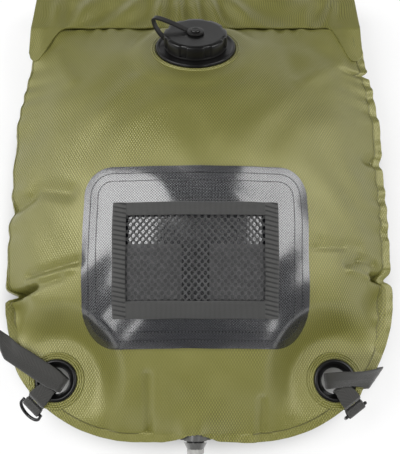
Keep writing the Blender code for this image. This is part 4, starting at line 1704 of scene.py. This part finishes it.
@dataclass
class Pocket:
    """The net pocket on the patch, its bindings and the two linings behind it."""

    form: BagForm
    finishes: Finishes
    surface: float
    half_width: float = 0.0725
    top: float = -0.012
    bottom: float = -0.114
    side_binding: float = 0.0115
    top_binding: float = 0.0105
    bottom_binding: float = 0.0130
    binding_off: float = 0.0034
    binding_thickness: float = 0.0016
    binding_crown: float = 0.0009
    long_cells: int = 130
    tall_cells: int = 110
    lining_top: float = -0.050
    lining_split: float = 0.012
    lining_cells: int = 40
    lining_thickness: float = 0.0006
    tuck: float = 0.002
    lift: float = 0.0007
    net_columns: int = 23
    net_rows: int = 13
    strand: float = 0.0007
    net_low: float = 0.0010
    net_high: float = 0.0021
    net_blend: float = 0.004
    stitch_pitch: float = 0.0028
    stitch_x: float = -0.002
    stitch_off: float = 0.0040

    def lining(self, name: str, left: float, right: float, node: str) -> None:
        """Build one lining.

        Args:
            name: The piece's name.
            left: Its left edge.
            right: Its right edge.
            node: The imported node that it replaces.
        """
        outline = Outline(left, right, self.bottom + self.tuck, self.lining_top)
        cells = self.lining_cells
        thickness = self.lining_thickness
        off = self.surface + self.lift
        layer = Layer(self.form, outline, off, thickness, cells, cells, crown=thickness)
        piece = layer.build(name)
        self.finishes.dress(piece, "pocket_lining", nodes=[node])
        right - left + 0.004

    def net_point(self, across: Array, along: Array) -> Array:
        """Lay places of the net over the linings, with a little fullness.

        Args:
            across: Shares across the net.
            along: Shares along it.

        Returns:
            One point for each place.
        """
        half = self.half_width - self.side_binding / 2
        low = self.bottom + self.bottom_binding / 2
        high = self.top - self.top_binding / 2
        x = half * (2 * across - 1)
        y = low + (high - low) * along
        over = smoothstep((self.lining_top + self.lift - y) / self.net_blend)
        off = self.net_low + (self.net_high - self.net_low) * over
        return self.form.on_patch(x, y, self.surface + off)

    def net(self) -> None:
        """Build the net: poke a grid, clear its squares and keep the diamonds as strands."""
        select_only(None)
        columns, rows = self.net_columns, self.net_rows
        bpy.ops.mesh.primitive_grid_add(x_subdivisions=columns, y_subdivisions=rows, size=1)
        piece = new_piece("pocket_net")
        with editing(piece):
            bpy.ops.mesh.poke()
            bpy.ops.mesh.select_all(action="DESELECT")
            bpy.ops.mesh.select_mode(type="EDGE")
            for edge in edit_mesh(piece).edges:
                run = edge.verts[0].co - edge.verts[1].co
                straight = min(abs(run.x), abs(run.y)) < MERGE_DISTANCE
                if straight and not edge.is_boundary:
                    edge.select_set(True)
            bpy.ops.mesh.dissolve_edges(use_verts=False)
            bpy.ops.mesh.select_mode(type="VERT")
        shares = points_of(piece) + 0.5
        move_points(piece, self.net_point(shares[:, 0], shares[:, 1]))
        modify(piece, "WIREFRAME", thickness=self.strand, use_even_offset=False)
        modify(piece, "SUBSURF", levels=1, render_levels=1)
        smooth(piece, math.pi)
        self.finishes.dress(piece, "pocket_net", nodes=["pocket_mesh"])

    def binding(self, name: str, outline: Outline, columns: int, rows: int) -> None:
        """Build one folded binding.

        Args:
            name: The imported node's name, which the piece's name follows.
            outline: Where it lies in plan.
            columns: Cells across.
            rows: Cells along.
        """
        off = self.surface + self.binding_off
        thickness = self.binding_thickness
        layer = Layer(self.form, outline, off, thickness, columns, rows, self.binding_crown)
        piece = layer.build(name + "_tape")
        look = "ribbed_binding"
        if columns > rows:
            self.turn_map(piece)
            look = ""
        self.finishes.dress(piece, "pocket_binding", nodes=[name], look=look)

    def turn_map(self, piece: Piece) -> None:
        """Swap the cloth map's two lengths on tape that runs across the bag.

        Args:
            piece: The tape.
        """
        layer = piece.data.uv_layers.active.data
        flat = np.empty(2 * len(layer))
        layer.foreach_get("uv", flat)
        layer.foreach_set("uv", flat.reshape(-1, 2)[:, ::-1].ravel())

    def build(self) -> None:
        """Build the linings, the net, the bindings and the stitches between the linings."""
        edge = self.half_width - self.tuck
        self.lining("left_lining", -edge, -self.lining_split, "inner_pocket_left")
        self.lining("right_lining", self.lining_split, edge, "inner_pocket_right")
        self.net()
        half = self.half_width
        inner = half - self.side_binding
        high = self.top - self.top_binding
        low = self.bottom + self.bottom_binding
        bindings = (
            ("left", Outline(-half, -inner, self.bottom, self.top), 10, self.tall_cells),
            ("right", Outline(inner, half, self.bottom, self.top), 10, self.tall_cells),
            ("top", Outline(-inner, inner, high, self.top), self.long_cells, 10),
            ("bottom", Outline(-inner, inner, self.bottom, low), self.long_cells, 12),
        )
        for side, outline, columns, rows in bindings:
            self.binding(f"pocket_{side}_binding", outline, columns, rows)
        sewing = Stitches(self.finishes, pitch=self.stitch_pitch)
        stops = np.arange(low, high, sewing.pitch)
        across = np.full_like(stops, self.stitch_x)
        route = self.form.on_patch(across, stops, self.surface + self.stitch_off)
        sewing.build("pocket_split_stitches", route, "pocket_binding", "patch_thread")


# Filler


@dataclass
class Filler:
    """The threaded neck, its lobed screw cap and the tether between them."""

    form: BagForm
    finishes: Finishes
    seat: float = 0.0009
    flange_radius: float = 0.042
    flange_thickness: float = 0.0026
    flange_lip: float = 0.0014
    neck_radius: float = 0.0272
    neck_wall: float = 0.0030
    neck_height: float = 0.0140
    neck_depth: float = 0.0060
    thread_pitch: float = 0.0040
    thread_turns: float = 1.4
    thread_ridge: float = 0.0009
    thread_start: float = 0.0072
    thread_steps: int = 48
    thread_share: float = 0.9
    edge: Span = (0.0004, math.radians(35))
    cap_radius: float = 0.0330
    cap_top: float = 0.0180
    cap_top_thickness: float = 0.0026
    cap_bottom: float = 0.0062
    cap_edge: float = 0.0016
    cap_edge_share: float = 0.35
    cap_dish: float = 0.0003
    cap_dish_share: float = 0.55
    cap_rim_share: float = 0.84
    cap_facets: int = 256
    flutes: int = 8
    flute_share: float = 0.24
    flute_blend: float = 0.05
    flute_depth: float = 0.0016
    flute_start_share: float = 0.90
    eye_radius: float = 0.0088
    button_radius: float = 0.0050
    button_height: float = 0.0016
    button_dip_share: float = 0.3125
    button_side_share: float = 0.375
    button_edge: Span = (0.0002, math.radians(35))
    post_radius: float = 0.0028
    tether_width: float = 0.0066
    tether_thickness: float = 0.0018
    collar_radius: float = 0.0325
    collar_thickness: float = 0.0020
    tether_lean: float = math.radians(160)
    tether_reach: float = 0.0140
    tether_arch: float = 0.0080
    tether_level_share: float = 0.4
    tether_arch_share: float = 0.8
    tether_edge: float = 0.0005
    room: float = 0.0003

    def neck(self) -> None:
        """Build the welded flange with the neck and its thread."""
        top = self.seat + self.flange_thickness
        inner = self.neck_radius - self.neck_wall
        lip = self.flange_lip
        profile = [
            (self.neck_radius, self.neck_height),
            (self.neck_radius, top),
            (self.flange_radius - 3 * lip, top - lip / 2),
            (self.flange_radius - 2 * lip, top + lip / 3),
            (self.flange_radius - lip / 2, top + lip / 3),
            (self.flange_radius, top - lip),
            (self.flange_radius, self.seat),
            (self.neck_radius, self.seat),
            (self.neck_radius, -self.neck_depth),
            (inner, -self.neck_depth),
            (inner, self.neck_height),
            (self.neck_radius, self.neck_height),
        ]
        seat = self.form.filler_place()
        flange = turned("filler_flange", profile, FINE_FACETS)
        self.finishes.set_down(flange, seat, self.edge, "black_moulding", "bag", "filler_neck")
        route = []
        steps = self.thread_steps
        radius = self.neck_radius
        for step in range(round(self.thread_turns * steps) + 1):
            angle = TURN * step / steps
            height = self.thread_start + self.thread_pitch * step / steps
            route.append(Vector((radius * math.cos(angle), radius * math.sin(angle), height)))
        route += route[-2:0:-1]
        thread = bent_wire("filler_thread", route, self.thread_ridge * self.thread_share)
        thread.data.transform(seat)
        smooth(thread)
        self.finishes.dress(thread, "black_moulding")

    def cap(self) -> None:
        """Build the screw cap and press its narrow flutes into its rim."""
        bore = self.neck_radius + self.thread_ridge + 2 * self.room
        under = self.cap_top - self.cap_top_thickness
        dish = self.cap_top - self.cap_dish
        edge = self.cap_edge * self.cap_edge_share
        profile = [
            (0, dish),
            (self.cap_radius * self.cap_dish_share, dish),
            (self.cap_radius * self.cap_rim_share, self.cap_top),
            (self.cap_radius - self.cap_edge, self.cap_top),
            (self.cap_radius - edge, self.cap_top - edge),
            (self.cap_radius, self.cap_top - self.cap_edge),
            (self.cap_radius, (self.cap_top + self.cap_bottom) / 2),
            (self.cap_radius, self.cap_bottom),
            (bore, self.cap_bottom),
            (bore, under),
            (0, under),
        ]
        cap = turned("lobed_cap", profile, self.cap_facets)
        points = points_of(cap)
        radius = np.hypot(points[:, 0], points[:, 1])
        turn = np.arctan2(points[:, 1], points[:, 0]) / TURN * self.flutes
        aside = np.abs(turn - np.round(turn - 0.5) - 0.5)
        flute = 1 - smoothstep((aside - self.flute_share / 2) / self.flute_blend)
        past = radius / self.cap_radius - self.flute_start_share
        rim = smoothstep(past / self.flute_blend)
        shrink = 1 - rim * flute * self.flute_depth / np.maximum(radius, self.flute_depth)
        points[:, :2] *= shrink[:, None]
        move_points(cap, points)
        cap.data.transform(self.form.filler_place())
        smooth(cap)
        self.finishes.dress(cap, "black_moulding", "cap", ["filler_cap"])

    def tether(self) -> None:
        """Build the eye, the button in it, the collar and the strap."""
        eye_bottom = self.cap_top + self.room
        eye_top = eye_bottom + self.tether_thickness
        hole = self.post_radius + self.room
        ring = square_ring(self.eye_radius, hole, eye_bottom, eye_top)
        head = eye_top + self.room
        high = head + self.button_height
        button = [
            (0, high - self.button_height * self.button_dip_share),
            (self.button_radius / 2, high),
            (self.button_radius - self.button_height / 2, high),
            (self.button_radius, head + self.button_height * self.button_side_share),
            (self.button_radius, head),
            (self.post_radius, head),
            (self.post_radius, eye_bottom),
            (0, eye_bottom),
        ]
        low = self.seat + self.flange_thickness + self.room
        inner = self.neck_radius + self.room
        collar = square_ring(self.collar_radius, inner, low, low + self.collar_thickness)
        pieces = (
            ("cap_eye", ring, self.edge, "tether_carrier", "tether_eye"),
            ("button_head", button, self.button_edge, "cap", "cap_button"),
            ("neck_collar", collar, self.edge, "bag", "tether_collar"),
        )
        for name, profile, edge, body, node in pieces:
            seat = self.form.filler_place()
            self.finishes.set_down(turned(name, profile), seat, edge, "tether_rubber", body, node)
        self.strap(eye_bottom + self.tether_thickness / 2, low + self.collar_thickness / 2)

    def strap(self, eye_level: float, collar_level: float) -> None:
        """Build the strap from the eye over the cap's edge to the collar.

        Args:
            eye_level: The eye's height over the seat.
            collar_level: The collar's height over the seat.
        """
        start = self.eye_radius + self.room
        end = self.collar_radius + self.tether_thickness / 2
        seat = np.array(self.form.filler_place())
        outward = np.array((math.cos(self.tether_lean), math.sin(self.tether_lean), 0))
        side = np.array((-outward[1], outward[0], 0)) * self.tether_width / 2

        def place(across: Array, along: Array) -> Array:
            """Lead the strap out over the cap's edge and down to the collar.

            Args:
                across: Shares across the strap.
                along: Shares along it, from the eye.

            Returns:
                One point for each place.
            """
            reach = start + (self.cap_radius - start) * smoothstep(along * 2)
            reach += self.tether_reach * np.sin(math.pi * along) ** 2
            reach += (end - self.cap_radius) * smoothstep(along * 2 - 1)
            lowering = smoothstep((along - self.tether_level_share) / (1 - self.tether_level_share))
            level = eye_level + (collar_level - eye_level) * lowering
            arch = np.minimum(along / self.tether_arch_share, 1.0)
            level += self.tether_arch * np.sin(math.pi * arch) ** 2
            points = outward * reach[:, None] + side * (2 * across - 1)[:, None]
            points[:, 2] = level
            return points @ seat[:3, :3].T + seat[:3, 3]

        strap = lay_grid("cap_tether", 8, 90, place)
        modify(strap, "SOLIDIFY", thickness=self.tether_thickness, offset=0.0)
        round_edges(strap, self.tether_edge, 3, LAYER_ANGLE)
        smooth(strap)
        self.finishes.dress(strap, "tether_rubber", "", ["tether_strap"])
        low, high = (seat @ (0, 0, level, 1) for level in (collar_level, eye_level))
        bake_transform(strap)

    def build(self) -> None:
        """Build the filler's pieces and redress its hidden seal."""
        self.neck()
        self.cap()
        self.tether()
        self.finishes.redress("cap_gasket", "seal_rubber")


# Bottom corners


@dataclass
class Corner:
    """One bottom corner: its eyelet, the webbing through it and the D ring."""

    form: BagForm
    finishes: Finishes
    hand: Hand
    loop_heading: float
    tab_heading: float
    ring_droop: float
    loop_twist: float = 0.0
    hole: float = 0.0125
    dish: float = 0.0175
    barrel: float = 0.0185
    flange: float = 0.0206
    edge: Span = (0.0002, SHARP_ANGLE)
    lip: float = 0.0016
    crest_share: float = 0.15
    slope_share: float = 0.75
    foot_share: float = 0.3
    back_share: float = 0.6
    dish_steps: int = 9
    room: float = 0.0003
    webbing: float = 0.020
    tape: float = 0.0014
    width_steps: int = 8
    run_steps: int = 26
    pinch_share: float = 0.78
    pinch_run: float = 0.016
    loop_inner: float = -0.0090
    loop_stack: float = 0.0019
    tab_inner: float = 0.0070
    loop_turn: float = 0.0022
    rim_share: float = 0.75
    loop_room: float = 0.0011
    loop_margin: float = 0.0135
    tab_root: float = 0.0272
    tab_room: float = 0.0007
    tab_length: float = 0.0097
    tab_droop: float = math.radians(40)
    tab_steps: int = 8
    tab_start_share: float = 0.15
    fold_steps: int = 13
    wire: float = 0.0016
    ring_depth: float = 0.0115
    ring_shoulder: float = 0.0045
    bar_steps: int = 9
    bow_steps: int = 33

    def eyelet(self) -> None:
        """Build the dished eyelet and its back ring."""
        half = self.form.sheet_offset + self.form.wall / 2 + self.room
        word = self.hand.word
        low = -half - self.lip
        high = half + self.lip
        eyelet = [
            (self.dish, high),
            (self.barrel, high + self.lip * self.crest_share),
            (self.flange - self.lip / 2, half + self.lip * self.slope_share),
            (self.flange, half + self.lip * self.foot_share),
            (self.flange, half),
            (self.barrel, half),
            (self.barrel, low),
            (self.hole, low),
        ]
        for share in np.linspace(0, 1, self.dish_steps):
            radius = self.hole + (self.dish - self.hole) * share
            rise = 1 - math.sqrt(1 - share * share)
            eyelet.append((radius, low + self.lip + (half - low) * rise))
        inner = self.barrel + self.room
        washer = [
            (self.flange, -half),
            (self.flange, -half - self.lip * self.back_share),
            (self.flange - self.lip / 2, low),
            (inner, low),
            (inner, -half),
            (self.flange, -half),
        ]
        place = self.form.eyelet_place(self.hand)
        pieces = (("eyelet_ring", eyelet, "eyelet"), ("eyelet_back_ring", washer, "eyelet_washer"))
        for name, profile, node in pieces:
            ring = turned(f"{word}_{name}", profile)
            look = ("black_moulding", "bag", f"{word}_{node}")
            self.finishes.set_down(ring, place, self.edge, *look)

    def edge_reach(self, spot: Array, outward: Array) -> float:
        """Give how far a strap runs before it passes round the bag's edge.

        Args:
            spot: Where it starts in plan.
            outward: Its heading in plan.

        Returns:
            The distance.
        """
        reach = self.flange
        while True:
            x, y = spot + outward * reach
            wide = float(self.form.half_width(np.full(1, y))[0]) + self.loop_margin
            if y < self.form.bottom_y - self.loop_margin or abs(x) > wide:
                return reach
            reach += SLOPE_STEP

    def band(
        self,
        name: str,
        heading: float,
        node: str,
        inner: float,
        stack: float = 0.0,
        length: float | None = None,
        twist: float = 0.0,
    ) -> None:
        """Build a closed loop of webbing through the eyelet and round an edge.

        Args:
            name: The piece's name.
            heading: Its heading in plan.
            node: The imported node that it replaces.
            inner: Where it passes through the eyelet, past the eyelet's middle.
            stack: How much higher it lies than webbing on the fabric itself.
            length: Its reach, or None to pass round the bag's own edge.
            twist: How far the middle of its run is turned on edge.
        """
        form = self.form
        outward = np.array((math.cos(heading), math.sin(heading)))
        across_way = np.array((-outward[1], outward[0])) * self.webbing / 2
        lift = form.wall / 2 + self.lip + self.loop_room + self.tape / 2 + stack
        rims = (self.rim_share * (form.sheet_offset + lift), self.tape / 2 + self.room)
        middle = np.array((self.hand.value * form.eyelet_x, form.eyelet_y))
        steps = self.run_steps + 1
        lines = []
        for share in np.linspace(-1, 1, self.width_steps + 1):
            reach = length or self.edge_reach(middle + across_way * share, outward)
            line = []
            for side in Side:
                ends = []
                for along, rim in zip((inner, reach), rims):
                    spot = middle + across_way * share * self.pinched(along - inner) + outward * along
                    ends.append((*spot, form.eyelet_level + side.value * rim))
                alongs = np.linspace(inner + self.loop_turn, reach - self.loop_turn, steps)
                lean = twist * np.sin(np.linspace(0, math.pi, steps)) ** 0.5
                wide = share * self.pinched(alongs - inner)
                x = middle[0] + across_way[0] * wide * np.cos(lean) + outward[0] * alongs
                y = middle[1] + across_way[1] * wide * np.cos(lean) + outward[1] * alongs
                run = form.point(side, x, y, lift + (1 + share) * self.webbing / 2 * np.sin(lean))
                half = [ends[0], *run, ends[1]]
                line += half if side is Side.FRONT else half[::-1]
            lines.append(line + line[:1])
        net = np.array(lines).transpose(1, 0, 2)
        rows = net.shape[0] - 1

        def place(across: Array, along: Array) -> Array:
            """Pick the points of the net, line by line."""
            row = np.round(along * rows).astype(int)
            column = np.round(across * self.width_steps).astype(int)
            return net[row, column]

        self.strip(name, rows, place, node)

    def pinched(self, run: Array | float) -> Array:
        """Give the share of its width that webbing keeps near the eyelet."""
        kept = self.pinch_share
        return kept + (1 - kept) * smoothstep(np.asarray(run) / self.pinch_run)

    def strip(self, name: str, rows: int, place: Cutting, node: str, body: str = "bag") -> None:
        """Lay a strip of webbing whose ends meet, and dress it.

        Args:
            name: The piece's name.
            rows: Cells along.
            place: Gives its points.
            node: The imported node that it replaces.
            body: The body that it rides on.
        """
        piece = lay_grid(name, self.width_steps, rows, place)
        with editing(piece):
            bpy.ops.mesh.remove_doubles(threshold=MERGE_DISTANCE)
        modify(piece, "SOLIDIFY", thickness=self.tape, offset=0.0, use_even_offset=True)
        modify(piece, "SUBSURF", levels=1, render_levels=1)
        smooth(piece, FOLD_ANGLE)
        self.finishes.dress(piece, "webbing", body, [node])

    def tab_place(self) -> Matrix:
        """Give the tab's hinge.

        Returns:
            The hinge's place, with X along the tab and Z off its face.
        """
        rest = self.form.eyelet_place(self.hand).to_translation()
        outward = Vector((math.cos(self.tab_heading), math.sin(self.tab_heading), 0))
        turn = Matrix.Rotation(self.tab_heading, 4, "Z") @ Matrix.Rotation(self.tab_droop, 4, "Y")
        return Matrix.Translation(rest + outward * self.tab_root) @ turn

    def tab(self) -> None:
        """Build the free folded end of the webbing."""
        fold = self.wire + self.room + self.tape / 2
        layer = self.tape / 2 + self.room
        start = self.tape + self.tab_room
        route = [(start, layer)]
        for share in np.linspace(self.tab_start_share, 1, self.tab_steps):
            reach = start + (self.tab_length - start) * share
            route.append((reach, layer + (fold - layer) * float(smoothstep(share))))
        for angle in np.linspace(math.pi / 2, -math.pi / 2, self.fold_steps)[1:]:
            route.append((self.tab_length + fold * math.cos(angle), fold * math.sin(angle)))
        route += [(reach, -level) for reach, level in reversed(route[: self.tab_steps])]
        path = np.array(route)
        hinge = np.array(self.tab_place())
        rows = len(route) - 1

        def place(across: Array, along: Array) -> Array:
            """Spread the path over the webbing's width, from the hinge."""
            row = np.round(along * rows).astype(int)
            points = np.stack((path[row, 0], self.webbing * (across - 0.5), path[row, 1]), axis=1)
            return points @ hinge[:3, :3].T + hinge[:3, 3]

        word = self.hand.word
        self.strip(f"{word}_webbing_tab", rows, place, f"{word}_tab", f"{word}_tail")

    def ring(self) -> None:
        """Build the D ring in the tab's fold."""
        wide = self.webbing / 2 + self.wire + 2 * self.room
        bar = self.tab_place() @ Matrix.Translation((self.tab_length, 0, 0))
        bar = bar @ Matrix.Rotation(self.ring_droop - self.tab_droop, 4, "Y")
        shares = np.linspace(-1, 1, self.bar_steps)
        route = [bar @ Vector((0, wide * share, 0)) for share in shares]
        for angle in np.linspace(math.pi / 2, -math.pi / 2, self.bow_steps):
            bow = (self.ring_depth - self.ring_shoulder) * math.cos(angle)
            route.append(bar @ Vector((self.ring_shoulder + bow, wide * math.sin(angle), 0)))
        word = self.hand.word
        piece = bent_wire(f"{word}_wire_ring", route, self.wire)
        smooth(piece)
        self.finishes.dress(piece, "ring_wire", f"{word}_ring", [f"{word}_d_ring"])

    def build(self) -> None:
        """Build the corner's pieces."""
        word = self.hand.word
        self.eyelet()
        loop = (f"{word}_webbing_loop", self.loop_heading, f"{word}_corner_loop", self.loop_inner)
        self.band(*loop, stack=self.loop_stack, twist=self.loop_twist)
        band = (f"{word}_webbing_band", self.tab_heading, f"{word}_tab_anchor", self.tab_inner)
        self.band(*band, length=self.tab_root)
        self.tab()
        self.ring()


# Outlet


@dataclass
class Outlet:
    """The spout in the bottom seam with its collar and tip."""

    finishes: Finishes

    def build(self) -> None:
        """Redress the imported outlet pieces, whose turned shapes are right."""
        looks = {
            "outlet_spout": "polished_moulding",
            "outlet_nut": "polished_moulding",
            "outlet_washer": "seal_rubber",
            "outlet_plug": "clear_plug",
        }
        for node, look in looks.items():
            self.finishes.redress(node, look)


# Studio


@dataclass
class Studio:
    """The pale floor, the soft lamps and the camera."""

    elevation: float = math.radians(75)
    distance: float = 0.707
    lens: float = 50.0
    sensor: float = 36.0
    aside_share: float = 4.5 / 454
    floor_size: float = 8.0
    floor_colour: Colour = (0.86, 0.86, 0.86)
    # Painted shadow: the floor's colour under the bag, darker than the floor round it.
    floor_shade: Colour = (0.36, 0.36, 0.36)
    lamps: tuple[tuple[str, Place, float, float, float], ...] = (
        ("left_softbox", (-0.84, 0.17, 1.00), 0.85, 1.10, 14.5),
        ("right_softbox", (0.92, 0.22, 0.93), 0.80, 0.90, 9.8),
        ("left_strip", (-0.80, -1.00, 1.10), 0.22, 0.40, 1.2),
        ("right_strip", (0.80, -1.00, 1.10), 0.22, 0.40, 1.2),
        ("front_fill", (0.00, -1.10, 1.00), 0.80, 0.30, 11.0),
    )
    unmirrored: str = "front_fill"
    room_dim: float = 0.06
    room_bright: float = 0.40
    # Where the painted shadow lies: a rounded rectangle under the bag, with a soft edge.
    shade_reach: Span = (0.180, 0.206)
    shade_round: float = 0.130
    shade_blend: Span = (0.002, 0.045)
    floor_roughness: float = 0.9
    floor_shine: float = 0.1
    floor_glow: float = 0.62
    room_top: float = 0.55
    near_clip: float = 0.01

    def camera(self) -> None:
        """Set the camera at the photograph's angle."""
        rise = self.elevation
        place = (0, -self.distance * math.cos(rise), self.distance * math.sin(rise))
        turn = (math.pi / 2 - rise, 0, 0)
        bpy.ops.object.camera_add(location=place, rotation=turn)
        camera = new_piece("camera")
        view = camera.data
        view.sensor_fit = "VERTICAL"
        view.sensor_height = self.sensor
        view.lens = self.lens
        view.shift_x = self.aside_share
        view.clip_start = self.near_clip
        bpy.context.scene.camera = camera

    def floor(self) -> None:
        """Lay the pale floor, which shows white to the camera and keeps the bag's soft shadow, with a
        painted shadow in its colour, darker grey under the bag.
        """
        bpy.ops.mesh.primitive_plane_add(size=self.floor_size)
        floor = new_piece("floor")
        surface = {"roughness": self.floor_roughness, "specular_ior_level": self.floor_shine}
        graph = Graph("floor", **surface)
        light_path = graph.node("ShaderNodeLightPath").outputs
        kinds = ("Camera", "Glossy", "Transmission")
        rays = [Signal(graph, light_path[f"Is {kind} Ray"]) for kind in kinds]
        glow = graph.node("ShaderNodeEmission", inputs={"Color": (1, 1, 1, 1), "Strength": 1.0})
        aside, along, _ = graph.parts(graph.place(Pattern.OBJECT))
        wide, long = (reach - self.shade_round for reach in self.shade_reach)
        past_side = (aside.size() - wide).larger(0.0)
        past_end = (along.size() - long).larger(0.0)
        past = (past_side * past_side + past_end * past_end) ** 0.5
        clear = (past - self.shade_round).between(self.shade_blend)
        # Painted shadow: the floor's colour turns to the darker grey under the bag.
        graph.feed("Base Color", graph.mix(clear, self.floor_shade, self.floor_colour))
        share = (rays[0] + rays[1] + rays[2]) * clear * self.floor_glow
        inputs = {0: share, 1: graph.shader.outputs[0], 2: glow.outputs[0]}
        mix = graph.node("ShaderNodeMixShader", inputs=inputs)
        graph.link(mix.outputs[0], "Material Output", "Surface")
        floor.data.materials.append(graph.material)

    def light(self) -> None:
        """Place the softboxes and the dim room round them."""
        for name, place, width, length, power in self.lamps:
            aim = (-Vector(place)).to_track_quat("-Z", "Y").to_euler()
            bpy.ops.object.light_add(type="AREA", location=place, rotation=aim)
            lamp = new_piece(name)
            light = lamp.data
            light.shape = "RECTANGLE"
            light.size = width
            light.size_y = length
            light.energy = power
            lamp.visible_glossy = name != self.unmirrored
        world = bpy.data.worlds.new("room")
        world.use_nodes = True
        bpy.context.scene.world = world
        tree = Tree(world.node_tree)
        aside, _, up = tree.parts(tree.node("ShaderNodeTexCoord").outputs["Generated"])
        bright = {"Value": up, "From Max": self.room_top, "To Min": self.room_bright, "To Max": 0.0}
        level = tree.node("ShaderNodeMapRange", inputs=bright)
        shine = aside.size() * Signal(tree, level.outputs["Result"]) + self.room_dim
        tree.link(shine.socket, "Background", "Color")

    def build(self) -> None:
        """Set up the studio."""
        self.camera()
        self.floor()
        self.light()
        bpy.context.scene.view_settings.view_transform = "Standard"


def main() -> None:
    """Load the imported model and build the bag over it."""
    logging.basicConfig(level=logging.INFO, format="%(name)s %(message)s")
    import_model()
    Studio().build()
    finishes = Finishes()
    form = BagForm()
    Reservoir(form, finishes).build()
    Header(form, finishes).build()
    patch = FrontPatch(form, finishes)
    patch.build()
    Pocket(form, finishes, patch.top).build()
    Filler(form, finishes).build()
    # Each corner's loop heading, tab heading, ring droop and loop twist, in degrees
    corners = {Hand.LEFT: (148, 227, 38, 0), Hand.RIGHT: (4, 306, 80, 50)}
    for hand, angles in corners.items():
        Corner(form, finishes, hand, *map(math.radians, angles)).build()
    Outlet(finishes).build()


if __name__ == "__main__":
    main()
